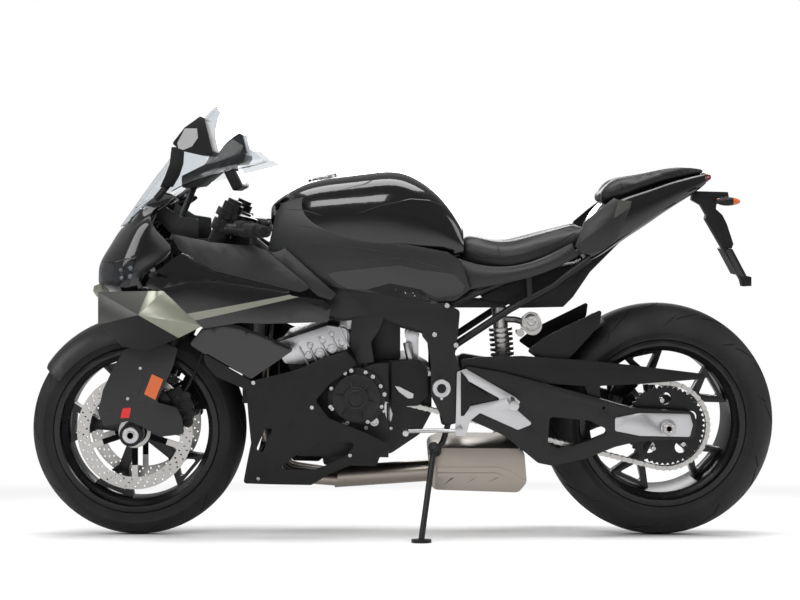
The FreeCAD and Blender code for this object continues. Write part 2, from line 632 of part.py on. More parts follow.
def front_mudguard():
    """A mudguard over the tyre with side shields outside the fork legs."""
    crown = FRONT_CROWN_RADIUS + GUARD_GAP
    centre = FRONT_TYRE_RADIUS - FRONT_CROWN_RADIUS
    steps = [radians(a) for a in (-80, -55, -30, 0, 30, 55, 80)]
    outer = [V(0, (crown + GUARD_WALL) * sin(a), centre + (crown + GUARD_WALL) * cos(a)) for a in steps]
    inner = [V(0, crown * sin(a), centre + crown * cos(a)) for a in reversed(steps)]
    arch = Part.Face(Part.makePolygon(outer + inner + outer[:1])).revolve(ORIGIN, Y_AXIS, GUARD_SWEEP)
    arch.rotate(ORIGIN, Y_AXIS, 90.0 - GUARD_FRONT_ANGLE - GUARD_SWEEP)
    arch.translate(FRONT_AXLE)
    shield = plate(SHIELD_PIXELS, SHIELD_SIDE, SHIELD_SIDE + SHIELD_WALL, 8.0)
    bridge = box(V(660.0, crown - 3.0, 546.0), V(722.0, SHIELD_SIDE + 1.0, 552.0))
    held = STEERING_FRAME.multVec(on_leg(GUARD_BOSS_HEIGHT))
    leg = steered(cylinder(STANCHION_RADIUS + FIT / 2, on_leg(0), on_leg(FORK_TUBE_LOW)))
    boss = fused([across(GUARD_BOSS_RADIUS, held, FORK_HALF_SPACING, SHIELD_SIDE + 1.0).cut(leg).Solids[-1],
                  across(GUARD_BOSS_RADIUS, GUARD_FOOT_BOSS, FORK_HALF_SPACING + FOOT_HALF_WIDTH + FIT / 2, SHIELD_SIDE + 1.0)])
    return fused([arch, shield, bridge, boss, mirrored(shield), mirrored(bridge), mirrored(boss)])


# Rear suspension
PIVOT = V(-118.0, 0, 428.0)
PIVOT_BOLT_RADIUS = 12.0
PIVOT_TUBE_RADIUS = 25.0
ARM_INNER, ARM_OUTER = 131.0, 150.0
PLATE_INNER, PLATE_OUTER = 130.0, 152.0
WEB_LOW, WEB_HIGH = 402.0, 440.0
ARM_PIXELS = [(464, 366), (500, 372), (545, 384), (590, 396), (632, 408), (694, 412), (697, 425), (694, 439),
              (640, 441), (615, 447), (585, 459), (553, 466), (538, 463), (522, 450), (505, 436), (470, 420), (464, 416)]
ARM_HOLE_PIXELS = [(550, 417), (590, 421), (612, 432), (590, 441), (560, 450), (548, 444)]
ADJUSTER_PIXELS = [(615, 418), (640, 413), (690, 414), (693, 425), (690, 437), (640, 436), (615, 431)]
CHAIN_GUARD_PIXELS = [(461, 360), (480, 357), (522, 356), (580, 360), (630, 365), (704, 374), (704, 379), (640, 384),
                      (600, 386), (600, 402), (590, 402), (585, 386), (553, 384), (520, 380), (480, 376), (462, 374)]
BOBBIN_PLACE = V(-556.0, 0, 380.0)
BOBBIN_RADIUS, BOBBIN_DEPTH = 4.25, 14.0
SHOCK_TOP = V(-285.0, 0, 640.0)
SHOCK_FOOT = V(-300.0, 0, 428.0)
SHOCK_RADIUS = 21.0
SPRING_RADIUS = 33.0
SPRING_COILS = 8
RESERVOIR_RADIUS = 26.0
HUGGER_GAP = 12.0
HUGGER_WALL = 3.0
HUGGER_SIDE = 121.0
HUGGER_PROFILE = [(-121.0, 15.0), (-105.0, 11.0), (-60.0, 4.0), (0.0, 0.0), (60.0, 4.0), (105.0, 11.0), (121.0, 15.0)]
HUGGER_PIXELS = [(527, 351), (543, 338), (602, 309), (600, 324), (590, 336), (566, 362), (545, 364)]


def hugger():
    """The rear mudguard: an arch over the tyre, two side skirts and a foot on the swingarm."""
    inner = [V(0, y, REAR_TYRE_RADIUS + HUGGER_GAP - drop) for y, drop in HUGGER_PROFILE]
    outer = [p + V(0, 0, HUGGER_WALL) for p in reversed(inner)]
    arch = Part.Face(Part.makePolygon(outer + inner + outer[:1])).revolve(ORIGIN, Y_AXIS, 42.0)
    arch.rotate(ORIGIN, Y_AXIS, 30.0)
    arch.translate(REAR_AXLE)
    skirt = plate(HUGGER_PIXELS, HUGGER_SIDE - HUGGER_WALL, HUGGER_SIDE, 6.0)
    foot = box(V(-411.0, -34.0, 427.0), V(-385.0, 34.0, 436.0))
    chain_way = box(V(-540.0, 98.0, 420.0), V(-370.0, 132.0, 478.0))
    return fused([arch, skirt, mirrored(skirt), foot]).cut([chain_way, mirrored(chain_way)])


def rear_end():
    """Swingarm, shock absorber, axle and guards."""
    arm = plate(ARM_PIXELS, ARM_INNER, ARM_OUTER, 14.0).cut(plate(ARM_HOLE_PIXELS, ARM_INNER - OVERRUN, ARM_OUTER + OVERRUN, 10.0))
    arm = arm.cut(across(REAR_AXLE_RADIUS + 0.05, REAR_AXLE, 0, ARM_OUTER + OVERRUN))
    web = box(V(-250.0, -ARM_INNER - 1.0, WEB_LOW), V(-180.0, ARM_INNER + 1.0, WEB_HIGH))
    neck = box(V(-181.0, -103.0, WEB_LOW), V(PIVOT.x, 103.0, WEB_HIGH))
    member = box(V(-385.0, -ARM_INNER - 1.0, WEB_LOW), V(-345.0, ARM_INNER + 1.0, WEB_HIGH))
    lug = box(V(-346.0, -15.8, WEB_LOW), V(-300.0, 15.8, WEB_HIGH))
    barrel = across(PIVOT_TUBE_RADIUS, PIVOT, -PLATE_INNER + FIT, PLATE_INNER - FIT)
    swingarm = fused([arm, mirrored(arm), web, neck, member, lug, barrel])
    bobbin = across(BOBBIN_RADIUS, BOBBIN_PLACE, ARM_OUTER - BOBBIN_DEPTH, ARM_OUTER + OVERRUN)
    swingarm = swingarm.cut([across(PIVOT_BOLT_RADIUS + 0.05, PIVOT, -PLATE_INNER, PLATE_INNER), bobbin, mirrored(bobbin)])
    body = cylinder(SHOCK_RADIUS, SHOCK_FOOT + V(0, 0, 38.0), SHOCK_TOP)
    along = (SHOCK_TOP - SHOCK_FOOT).normalize()
    coils = []
    for i in range(SPRING_COILS):
        low = SHOCK_FOOT + along * (48.0 + 14.0 * i)
        coils.append(cylinder(SPRING_RADIUS, low, low + along * 8.0))
    eye = across(17.0, SHOCK_FOOT, -22.0, 22.0)
    ears = box(V(-314.0, -22.0, 428.0), V(-286.0, -16.0, 472.0)).fuse(box(V(-314.0, 16.0, 428.0), V(-286.0, 22.0, 472.0)))
    reservoir = across(RESERVOIR_RADIUS, V(-368.0, 0, 598.0), 26.0, 108.0)
    hose = tube([SHOCK_TOP - V(0, 0, 34.0), V(-330.0, 24.0, 606.0), V(-368.0, 50.0, 598.0)], 9.0, 14.0)
    shock = fused([body, ears, eye, reservoir, hose] + coils)
    spare = box(V(-346.0, -16.0, WEB_LOW - OVERRUN), V(-270.0, 16.0, 452.0))
    shock = shock.cut(spare)
    axle_reach = ARM_OUTER + 18.0
    wheel_left = CHAIN_SIDE + SPROCKET_THICKNESS / 2 + RUNNING_GAP
    wheel_right = REAR_DISC_SIDE + DISC_THICKNESS / 2 + RUNNING_GAP
    axle = fused([across(REAR_AXLE_RADIUS, REAR_AXLE, -axle_reach, axle_reach),
                  across(24.0, REAR_AXLE, wheel_left, ARM_INNER), across(24.0, REAR_AXLE, -ARM_INNER, -wheel_right),
                  across(21.0, REAR_AXLE, ARM_OUTER + 5.0, axle_reach - 4.0),
                  across(21.0, REAR_AXLE, -axle_reach + 4.0, -ARM_OUTER - 5.0)])
    axle = axle.cut(across(REAR_AXLE_RADIUS - AXLE_BORE_WALL, REAR_AXLE, -axle_reach - OVERRUN, axle_reach + OVERRUN))
    adjuster = plate(ADJUSTER_PIXELS, ARM_OUTER, ARM_OUTER + 5.0, 6.0).cut(across(REAR_AXLE_RADIUS + 0.05, REAR_AXLE, 0, axle_reach))
    guard = plate(CHAIN_GUARD_PIXELS, 136.0, 140.0, 4.0).cut(swingarm)
    slot = DISC_THICKNESS / 2 + CALIPER_SLOT_GAP
    outline = [polar(r, a) for r, a in ((84.0, 22.0), (128.0, 18.0), (136.0, 40.0), (128.0, 66.0), (84.0, 62.0))]
    caliper = Part.Face(section(outline, 10.0)).extrude(V(0, 2 * (slot + CALIPER_WALL), 0))
    caliper.translate(V(REAR_AXLE.x, -REAR_DISC_SIDE - slot - CALIPER_WALL, REAR_AXLE.z))
    caliper = caliper.cut(across(REAR_DISC_RADIUS + CALIPER_SLOT_GAP, REAR_AXLE, -REAR_DISC_SIDE - slot, -REAR_DISC_SIDE + slot))
    carrier = box(V(-668.0, -ARM_INNER, 345.0), V(-612.0, -REAR_DISC_SIDE - slot, 402.0))
    caliper = caliper.fuse(carrier).removeSplitter()
    return {
        "swingarm": swingarm, "rear_shock": shock, "rear_axle": Part.makeCompound([axle, adjuster, mirrored(adjuster)]),
        "chain_guard": guard, "rear_mudguard": hugger(), "rear_caliper": caliper,
    }


# Frame and power unit
SPAR_STATIONS = [  # x, inner side, outer side, low, high
    (414.0, 18.0, 50.0, 764.0, 852.0), (360.0, 54.0, 86.0, 712.0, 812.0), (300.0, 92.0, 120.0, 656.0, 768.0),
    (220.0, 116.0, 141.0, 626.0, 736.0), (150.0, 128.0, 150.0, 614.0, 716.0), (60.0, 130.0, 152.0, 622.0, 710.0),
    (0.0, 130.0, 152.0, 598.0, 700.0), (-60.0, 130.0, 152.0, 582.0, 684.0), (-112.0, 130.0, 152.0, 556.0, 662.0),
]
MOUNT_LUG_PIXELS = [(352, 318), (386, 312), (379, 330), (371, 342), (374, 362), (359, 364), (354, 354), (349, 347)]
PIVOT_PLATE_PIXELS = [(423, 304), (444, 303), (460, 311), (458, 335), (455, 354), (460.5, 371), (461, 422), (446, 426),
                      (431, 396), (431, 366), (429, 345), (422, 336)]
FRAME_STAYS = [  # panel, start, end
    ("nose_cowl", (655.0, 0.0, 812.0), (655.0, 240.0, 815.0)), ("upper_band", (650.0, 0.0, 745.0), (650.0, 240.0, 745.0)),
    ("side_panel", (320.0, 100.0, 712.0), (320.0, 236.0, 668.0)), ("cockpit_cover", (385.0, 50.0, 790.0), (385.0, 236.0, 795.0)),
    ("cockpit_liner", (600.0, 30.0, 826.0), (600.0, 236.0, 925.0)),
    ("fairing_strut", (262.0, 112.0, 715.0), (262.0, 205.0, 756.0)), ("mid_panel", (340.0, 86.0, 700.0), (340.0, 240.0, 520.0)),
]
HEAD_TUBE_LOW = LOWER_CLAMP_LOW + LOWER_CLAMP_HEIGHT + 4.0
HEAD_TUBE_HIGH = UPPER_CLAMP_LOW - 4.0
CRANK = seen(356.0, 399.5, 212.0)
CASE_POINTS = [(292, 300), (286, 250), (20, 246), (-60, 300), (-92, 360), (-92, 470), (-30, 505), (60, 500), (150, 470),
               (210, 470), (270, 420)]
CYLINDER_POINTS = [(92, 488), (150, 452), (262, 430), (300, 500), (262, 536), (150, 562)]
HEAD_POINTS = [(118, 548), (262, 500), (304, 502), (330, 545), (322, 560), (190, 604), (140, 596)]
STARTER = V(-38.0, 112.0, 574.0)
STARTER_RADIUS = 20.0
INTAKE_POINTS = [(-78, 602), (-6, 602), (-6, 504.3), (60, 500.6), (88, 540), (98, 600), (104, 690), (80, 715),
                 (-78, 715)]
INTAKE_HALF_WIDTH = 92.0
COVER_STUDS = [(12.0, 480.0), (12.0, 391.0)]
CASE_HALF_WIDTH = 150.0
GEARBOX_HALF_WIDTH = 100.0
HEAD_HALF_WIDTH = 165.0


def flat(points, corner, low, high):
    """A plate across the machine from an outline of x and z."""
    face = Part.Face(section([V(x, low, z) for x, z in points], corner))
    return face.extrude(V(0, high - low, 0))


def station_loft(wires, ruled=False):
    """A solid through closed wires."""
    return Part.makeLoft(wires, True, ruled)


def spar():
    """The left spar of the frame."""
    wires = []
    for x, inner, outer, low, high in SPAR_STATIONS:
        chamfer = 0.3 * (outer - inner)
        ring = [V(x, inner, low + chamfer), V(x, inner + chamfer, low), V(x, outer - chamfer, low),
                V(x, outer, low + 1.6 * chamfer), V(x, outer, high - 1.6 * chamfer), V(x, outer - chamfer, high),
                V(x, inner + chamfer, high), V(x, inner, high - chamfer)]
        wires.append(Part.makePolygon(ring + ring[:1]))
    return station_loft(wires, True)


def stay(start, end, panel, radius=6.0):
    """A round stay from start as far as the panel's inner face, and its right twin."""
    pieces = cylinder(radius, start, end).cut(panel).Solids
    near = min(pieces, key=lambda solid: (solid.CenterOfMass - start).Length)
    return [near, mirrored(near)]


def main_frame(panels):
    """Twin spars from the steering head to the swingarm pivot, with the stays that carry the bodywork."""
    lug = plate(MOUNT_LUG_PIXELS, PLATE_INNER, PLATE_OUTER, 8.0)
    side = fused([spar(), plate(PIVOT_PLATE_PIXELS, PLATE_INNER, PLATE_OUTER, 10.0), lug, stand_tongue()])
    head = steered(cylinder(STEM_RADIUS + RUNNING_GAP + HEAD_TUBE_WALL, V(0, 0, HEAD_TUBE_LOW), V(0, 0, HEAD_TUBE_HIGH)))
    gusset = box(V(392.0, -42.0, 772.0), V(455.0, 42.0, 846.0))
    top_bar = across(16.0, V(-100.0, 0, 636.0), -PLATE_INNER - 1.0, PLATE_INNER + 1.0)
    shock_perch = box(V(-302.0, -26.0, 640.0), V(-96.0, 26.0, 664.0))
    low_bar = across(10.0, V(-126.0, 0, 340.0), -PLATE_INNER - 1.0, PLATE_INNER + 1.0)
    other = mirrored(fused([spar(), plate(PIVOT_PLATE_PIXELS, PLATE_INNER, PLATE_OUTER, 10.0), lug]))
    duct = box(V(470.0, -36.0, 790.0), V(742.0, 36.0, 832.0))
    shelf = cylinder(9.0, V(640.0, 0, 826.0), V(560.0, 0, 1020.0)).cut(panels["instruments"])
    shelf = min(shelf.Solids, key=lambda solid: solid.CenterOfMass.z)
    drop = box(V(640.0, -14.0, 736.0), V(660.0, 14.0, 796.0))
    stays = []
    for name, start, end in FRAME_STAYS:
        stays += stay(V(*start), V(*end), panels[name])
    bolt = across(PIVOT_BOLT_RADIUS, PIVOT, -PLATE_OUTER, PLATE_OUTER)
    caps = [across(PIVOT_TUBE_RADIUS, PIVOT, PLATE_OUTER, PLATE_OUTER + 5.0),
            across(PIVOT_TUBE_RADIUS, PIVOT, -PLATE_OUTER - 5.0, -PLATE_OUTER)]
    frame = fused([side, other, head, gusset, top_bar, shock_perch, low_bar, duct, drop, shelf, bolt] + caps + stays)
    bore = steered(cylinder(STEM_RADIUS + RUNNING_GAP, V(0, 0, HEAD_TUBE_LOW - 20), V(0, 0, HEAD_TUBE_HIGH + 20)))
    return frame.cut(bore)


def power_unit(panels):
    """Engine, covers, radiator and exhaust."""
    crank_half = flat(CASE_POINTS, 26.0, -CASE_HALF_WIDTH, CASE_HALF_WIDTH)
    narrow = box(V(-120.0, GEARBOX_HALF_WIDTH, 200.0), V(26.0, CASE_HALF_WIDTH + 1.0, 520.0))
    narrow_right = box(V(-120.0, -CASE_HALF_WIDTH - 1.0, 200.0), V(26.0, -GEARBOX_HALF_WIDTH, 520.0))
    cylinders = flat(CYLINDER_POINTS, 12.0, -CASE_HALF_WIDTH - 4.0, CASE_HALF_WIDTH + 4.0)
    head = flat(HEAD_POINTS, 14.0, -HEAD_HALF_WIDTH, HEAD_HALF_WIDTH)
    mount = across(18.0, V(150.0, 0, 612.0), -20.0, 20.0)
    case = crank_half.cut([narrow, narrow_right])
    ear_points = [(118, 590), (160, 590), (150, 690), (128, 690)]
    ear = flat(ear_points, 6.0, 112.0, 124.0)
    lug_room = box(V(20.0, PLATE_INNER - FIT, 480.0), V(137.0, CASE_HALF_WIDTH + 40.0, 650.0))
    cylinders = cylinders.cut([case, lug_room, mirrored(lug_room)])
    head = fused([head.cut([cylinders, lug_room, mirrored(lug_room)]), ear, mirrored(ear)])
    stub = across(REAR_AXLE_RADIUS, FRONT_SPROCKET_CENTRE, GEARBOX_HALF_WIDTH, CHAIN_SIDE + 8.0)
    alternator = fused([across(78.0, CRANK, CASE_HALF_WIDTH, CASE_HALF_WIDTH + 24.0),
                        across(64.0, CRANK, CASE_HALF_WIDTH + 23.0, CASE_HALF_WIDTH + 46.0),
                        across(34.0, CRANK, CASE_HALF_WIDTH + 45.0, CASE_HALF_WIDTH + 60.0)])
    clutch_centre = V(60.0, 0, 400.0)
    clutch = fused([across(86.0, clutch_centre, -CASE_HALF_WIDTH - 26.0, -CASE_HALF_WIDTH),
                    across(62.0, clutch_centre, -CASE_HALF_WIDTH - 44.0, -CASE_HALF_WIDTH - 25.0)])
    clutch = clutch.cut(box(V(-120.0, -260.0, 200.0), V(26.0, -GEARBOX_HALF_WIDTH, 520.0)))
    sump = flat([(214, 260), (205, 212), (60, 208), (40, 260)], 8.0, -86.0, 86.0)
    case = fused([case, stub, sump])
    cylinders = cylinders.cut(alternator)
    foot = box(V(-56.0, 60.0, 470.0), V(-22.0, 98.0, STARTER.z)).cut(case).Solids[-1]
    starter = fused([across(STARTER_RADIUS, STARTER, 52.0, STARTER.y),
                     across(STARTER_RADIUS * 0.6, STARTER, 52.0, STARTER.y + 9.0),
                     foot, cylinder(11.0, V(-24.0, 110.0, 552.0), V(-37.0, 110.0, 492.0))])
    starter = largest(starter.cut(case))
    case = fused([case] + stay(V(272.0, CASE_HALF_WIDTH - 2.0, 330.0), V(272.0, 240.0, 330.0), panels["lower_panel"]))
    cover_pixels = [(391, 362), (420, 360), (428, 372), (428, 396), (418, 406), (391, 407), (391, 386)]
    cover = plate(cover_pixels, 130.0, 137.0, 8.0)
    studs = [across(5.0, V(x, 0, z), GEARBOX_HALF_WIDTH, 131.0) for x, z in COVER_STUDS]
    cover = fused([cover] + studs)
    return {
        "crankcase": case, "cylinder_block": cylinders, "cylinder_head": head,
        "engine_covers": Part.makeCompound([alternator, clutch]), "sprocket_cover": cover, "starter_motor": starter,
        "intake_box": flat(INTAKE_POINTS, 8.0, -INTAKE_HALF_WIDTH, INTAKE_HALF_WIDTH),
    }


HEADER_RADIUS = 18.0
HEADER_SIDES = [-120.0, -40.0, 40.0, 120.0]
COLLECTOR_RADIUS = 30.0


def exhaust():
    """Four pipes down the front of the engine, a box under it and a can on the right."""
    pipes = []
    for side in HEADER_SIDES:
        inward = side * 0.45
        pipes.append(tube([V(322.0, side, 530.0), V(364.0, side, 512.0), V(364.0, side * 0.9, 330.0),
                           V(330.0, inward, 178.0), V(172.0, inward * 0.6, 160.0)], HEADER_RADIUS, 60.0))
    box_points = [(-82, 250), (-90, 150), (-330, 142), (-352, 170), (-345, 262), (-120, 264)]
    silencer = flat(box_points, 22.0, -112.0, 112.0)
    collector = cylinder(COLLECTOR_RADIUS, V(180.0, 0, 160.0), V(-88.0, 0, 178.0))
    link = tube([V(-280.0, -60.0, 205.0), V(-290.0, -180.0, 222.0), V(-350.0, -218.0, 292.0)], 24.0, 40.0)
    can = cylinder(52.0, V(-345.0, -217.0, 288.0), V(-585.0, -226.0, 322.0))
    tip = cylinder(34.0, V(-580.0, -226.0, 321.0), V(-607.0, -226.8, 325.0))
    can = can.fuse(tip).removeSplitter()
    return {"exhaust": fused([silencer, collector, link.cut(can)] + pipes), "end_can": can}


def radiator(panels):
    """The radiator behind the front wheel."""
    core = box(V(392.0, -150.0, 400.0), V(414.0, 150.0, 640.0))
    tanks = [box(V(388.0, 150.0, 396.0), V(418.0, 172.0, 644.0)), box(V(388.0, -172.0, 396.0), V(418.0, -150.0, 644.0))]
    stays = stay(V(403.0, 160.0, 560.0), V(403.0, 240.0, 560.0), panels["mid_panel"])
    return {"radiator": fused([core] + tanks + stays)}


# Bodywork: one smooth side surface, from which each panel is trimmed
PANEL_WALL = 3.0
SKIN_COLUMNS = [130, 160, 200, 250, 300, 350, 400]
SKIN_ROWS = [225, 250, 280, 310, 345, 380, 415, 445, 470, 496]
SKIN_SIDES = [  # the side of the surface at each row and column above
    [150, 168, 180, 176, 166, 158, 152], [158, 180, 192, 190, 180, 170, 162], [166, 190, 204, 206, 198, 184, 172],
    [170, 194, 208, 214, 206, 190, 176], [168, 190, 204, 214, 208, 196, 182], [160, 180, 196, 210, 212, 206, 192],
    [150, 168, 186, 204, 212, 210, 198], [136, 154, 172, 192, 202, 200, 188], [114, 132, 150, 170, 178, 176, 166],
    [80, 92, 106, 122, 130, 128, 120],
]
FLANK_COLUMNS = [265, 310, 360, 410, 460, 520]
FLANK_ROWS = [184, 205, 225, 245, 268, 306]
FLANK_SIDES = [
    [100, 112, 108, 96, 88, 86], [128, 142, 138, 122, 108, 104], [142, 158, 154, 136, 120, 116],
    [150, 167, 163, 146, 130, 124], [153, 168, 164, 150, 134, 126], [150, 164, 158, 146, 132, 124],
]
UPPER_BAND_PIXELS = [(143, 286), (154, 272), (162, 267), (175, 257), (182, 252.6), (213, 269), (300, 292), (275, 293),
                     (217, 286), (194, 286), (158, 293)]
SIDE_PANEL_PIXELS = [(158, 290), (194, 281), (217, 281), (275.5, 289.6), (294.6, 296), (324, 300), (331, 308), (328, 322),
                     (266, 323), (241, 322), (222, 325), (204, 328), (194, 319), (172, 306)]
COCKPIT_PIXELS = [(168, 233.5), (211.7, 242.4), (262, 247), (312, 288), (300, 292), (214, 270.5), (178.6, 250)]
LINER_PIXELS = [(160, 203), (180, 216), (198, 219), (198, 240), (170, 233), (156, 217)]
LINER_SIDE = 116.0
STRUT_PIXELS = [(262, 236), (275, 240), (336, 294), (331, 300), (318, 296), (268, 250)]
MID_PANEL_PIXELS = [(202.5, 328), (224, 322), (241, 325), (264, 334.5), (296, 348), (252, 378), (206.5, 354.5),
                    (190, 344)]
LOWER_PANEL_PIXELS = [(203, 352), (252, 380), (290, 371), (305, 366), (322, 358), (346, 351), (357, 363),
                      (345, 372), (329, 384), (316, 399.5),
                      (329, 417), (367, 432.7), (382.7, 441.6), (394, 448), (367, 458), (329, 476), (310, 489),
                      (241, 487.5), (251, 443), (248.7, 414.8), (247, 389), (216, 376), (206, 364)]
LOWER_WINDOW_PIXELS = [(276, 471), (300, 452), (323, 440), (356, 442), (346, 457), (315, 471)]
LOWER_SLOT_PIXELS = [(256, 450), (266, 427), (273, 428), (262, 454)]
SCREEN_GRID = [
    [(780, 0, 866), (768, 50, 868), (735, 95, 885), (690, 135, 912)],
    [(715, 0, 957), (703, 55, 955), (665, 105, 955), (610, 150, 965)],
    [(646, 0, 1049), (634, 58, 1045), (590, 110, 1030), (530, 158, 1000)],
    [(578, 0, 1132), (565, 58, 1125), (520, 110, 1090), (450, 165, 1020)],
    [(509, 0, 1206), (500, 50, 1194), (455, 100, 1140), (350, 170, 1045)],
]
NOSE_LINES = [
    [(122, 229, 0), (124, 226, 50), (133, 218, 95), (146, 205, 135), (163, 192, 168)],
    [(112, 244, 0), (115, 242, 62), (126, 235, 112), (142, 222, 150), (156, 208, 180)],
    [(104, 257, 0), (108, 256, 70), (122, 250, 125), (140, 240, 162), (157, 231, 190)],
    [(100, 267, 0), (105, 266, 74), (120, 262, 132), (144, 256, 170), (171, 249.5, 197)],
    [(99.5, 276, 0), (104, 276, 76), (117, 274, 128), (134, 271, 160), (152, 266, 184)],
    [(101, 286, 0), (105, 287, 74), (115, 288, 120), (127, 288, 148), (138, 288, 164)],
    [(116, 295, 0), (119, 296, 66), (126, 297, 108), (134, 298, 134), (142, 299, 150)],
]
LAMP_PIXELS = [(92, 264), (112, 263), (128, 259), (139, 256), (136, 272), (130, 286), (92, 286)]
LIP_PIXELS = [(93, 291), (94, 286), (104, 282), (107, 288), (106, 296), (97, 297)]
LIP_HALF_WIDTH = 46.0
WINGLET_RING = [(98, 292, 152), (148, 291, 190), (163, 291, 199), (201.5, 326.6, 210), (178.6, 338, 206), (145, 352, 184),
                (122, 346, 166), (98, 325, 170)]
WINGLET_APEX = (138, 315, 246)
WINGLET_WALL = 6.0
TAIL_LAMP_STATIONS = [(704.2, 173.5, 183, 40), (707, 174, 181, 35), (709.5, 175, 179.5, 27)]
TANK_STATIONS = [  # x, top, low, half width, shoulder share
    (352.0, 925.0, 868.0, 70.0, 0.55), (318.0, 958.0, 820.0, 118.0, 0.62), (262.0, 988.0, 780.0, 148.0, 0.66),
    (175.0, 1007.0, 768.0, 164.0, 0.68), (80.0, 1018.0, 764.0, 164.0, 0.68), (-6.0, 1019.0, 762.0, 152.0, 0.66),
    (-60.0, 998.0, 766.0, 138.0, 0.64), (-110.0, 962.0, 772.0, 124.0, 0.62), (-150.0, 916.0, 778.0, 112.0, 0.60),
    (-180.0, 862.0, 784.0, 98.0, 0.58),
]
TANK_COVER_PIXELS = [(268, 250), (275.5, 213), (282, 203), (326.5, 190), (339, 203), (357, 220.7), (382.7, 236), (400, 243),
                     (448.5, 252.6), (462, 262), (471, 290), (456, 301), (432, 303), (425, 300), (366, 292), (331, 286),
                     (290, 268)]
CAP_CENTRE = V(205.0, 0, 999.0)
CAP_TILT = 13.0  # degrees
CAP_RADIUS = 36.0


def grid_sheet(columns, rows, sides, lift, wall):
    """A panel surface from rows of side values, moved outward by lift."""
    grid = [[seen(c, r, y + lift) for c, y in zip(columns, line)] for r, line in zip(rows, sides)]
    made = sheet(grid, wall)
    return made


def trimmed(columns, rows, sides, lift, wall, pixels, corner, holes=()):
    """A panel: the side surface trimmed to the outline that the photograph shows."""
    level = sum(max(line) for line in sides) / len(sides) + lift
    reach = 140.0
    points = [seen(c, r, level) for c, r in pixels]
    prism = Part.Face(section([V(p.x, level - reach, p.z) for p in points], corner)).extrude(V(0, 2 * reach, 0))
    made = grid_sheet(columns, rows, sides, lift, wall).common(prism)
    for hole in holes:
        points = [seen(c, r, level) for c, r in hole]
        tool = Part.Face(section([V(p.x, level - reach, p.z) for p in points], corner)).extrude(V(0, 2 * reach, 0))
        made = made.cut(tool)
    return made


def skin(lift, pixels, corner=8.0, holes=()):
    """A panel of the fairing's side."""
    return trimmed(SKIN_COLUMNS, SKIN_ROWS, SKIN_SIDES, lift, PANEL_WALL, pixels, corner, holes)


def flank(lift, pixels, corner=8.0, wall=PANEL_WALL):
    """A panel beside the tank."""
    return trimmed(FLANK_COLUMNS, FLANK_ROWS, FLANK_SIDES, lift, wall, pixels, corner)


def fuel_tank():
    """The tank: smooth rounded sections along the machine."""
    wires = []
    for x, top, low, half, shoulder in TANK_STATIONS:
        tall = top - low
        left = [(0.0, 1.0), (0.5, 0.975), (0.82, 0.87), (0.97, shoulder), (1.0, 0.42), (0.94, 0.18), (0.75, 0.0)]
        ring = [V(x, half * y, low + tall * z) for y, z in left]
        ring += [V(x, -half * y, low + tall * z) for y, z in reversed(left[1:])]
        wires.append(smooth_wire(ring))
    return station_loft(wires)


def station_body(stations, profile):
    """A body lofted through stations of column, top row, bottom row and half width."""
    wires = []
    for column, top, bottom, half in stations:
        high, low = seen(column, top, half * 0.4), seen(column, bottom, half * 0.8)
        x = high.x
        tall = high.z - low.z
        ring = [V(x, half * y, low.z + tall * z) for y, z in profile]
        ring += [V(x, -half * y, low.z + tall * z) for y, z in reversed(profile) if y > 0]
        wires.append(smooth_wire(ring))
    return station_loft(wires)


SOFT_PROFILE = [(0.0, 1.0), (0.55, 0.98), (0.88, 0.84), (1.0, 0.45), (0.86, 0.08), (0.45, 0.0), (0.0, 0.0)]
SEAT_STATIONS = [(453, 252, 268, 60), (465, 238, 270, 78), (489, 241, 272, 104), (522, 239, 270, 122), (552, 231, 262, 112),
                 (572, 226, 252, 100), (582, 224, 242, 92)]
PILLION_STATIONS = [(599, 194, 202, 64), (607, 184, 203, 80), (635, 177, 192, 84), (663, 171.5, 182, 74),
                    (688, 169, 176, 54), (703, 170.5, 174.5, 34)]
TAIL_STATIONS = [(584, 232, 262, 100), (600, 206, 256, 104), (620, 192.5, 242, 99), (645, 185, 225, 88),
                 (668, 178.5, 209, 76), (690, 174.5, 195, 58), (704, 172.5, 184, 42)]
TAIL_SIDE_LINES = [
    [(458, 258, 0.80), (484, 265.5, 0.92), (512, 266, 1.0), (545, 256.5, 1.0), (572, 243, 0.97)],
    [(457, 275, 0.86), (484, 276.5, 1.0), (512, 274.5, 1.07), (545, 265, 1.08), (575, 249.5, 1.0)],
    [(456, 293, 0.84), (484, 287, 0.97), (512, 282, 1.02), (545, 272.5, 1.04), (578, 256, 0.98)],
]
TAIL_FACET_RING = [(584, 222.5, 101), (600, 209, 100), (614, 198, 94), (619, 200, 97), (632, 201, 96), (630, 209, 104),
                   (617, 239, 104), (604, 250.5, 106), (583, 254.5, 110), (575, 246, 116)]
TAIL_FACET_APEX = (613, 219, 119)
TAIL_FACET_STAY = ((612, 225, 60.0), (612, 225, 160.0))
TAIL_HALF_WIDTH = 122.0
UNDERTRAY_PIXELS = [(506, 303), (479, 298), (500, 287.5), (524, 279), (548, 271), (566, 266), (580, 263), (622, 238), (663, 208), (697, 186), (699, 191), (663, 212),
                    (622, 240), (590, 272), (573, 297), (563, 307), (516, 308)]
SUBFRAME_TUBES = [
    [(436, 310), (500, 283), (566, 258), (606, 238)],
    [(452, 347), (510, 309), (553, 286), (564, 277), (590, 258)],
    [(530, 300), (528, 272)],
]
SUBFRAME_SIDE = 96.0
SUBFRAME_RADIUS = 10.0
PLATE_ARM_PIXELS = [(693, 191), (728, 192), (729, 197), (717, 198.5), (716, 209), (722.5, 215), (727, 224), (733.5, 244),
                    (731.5, 249), (728, 247), (743.5, 275), (751.5, 277), (751.5, 286), (742.5, 286.5), (741, 280),
                    (720, 244), (705.5, 219), (706.5, 214.5), (701, 205), (692, 200)]
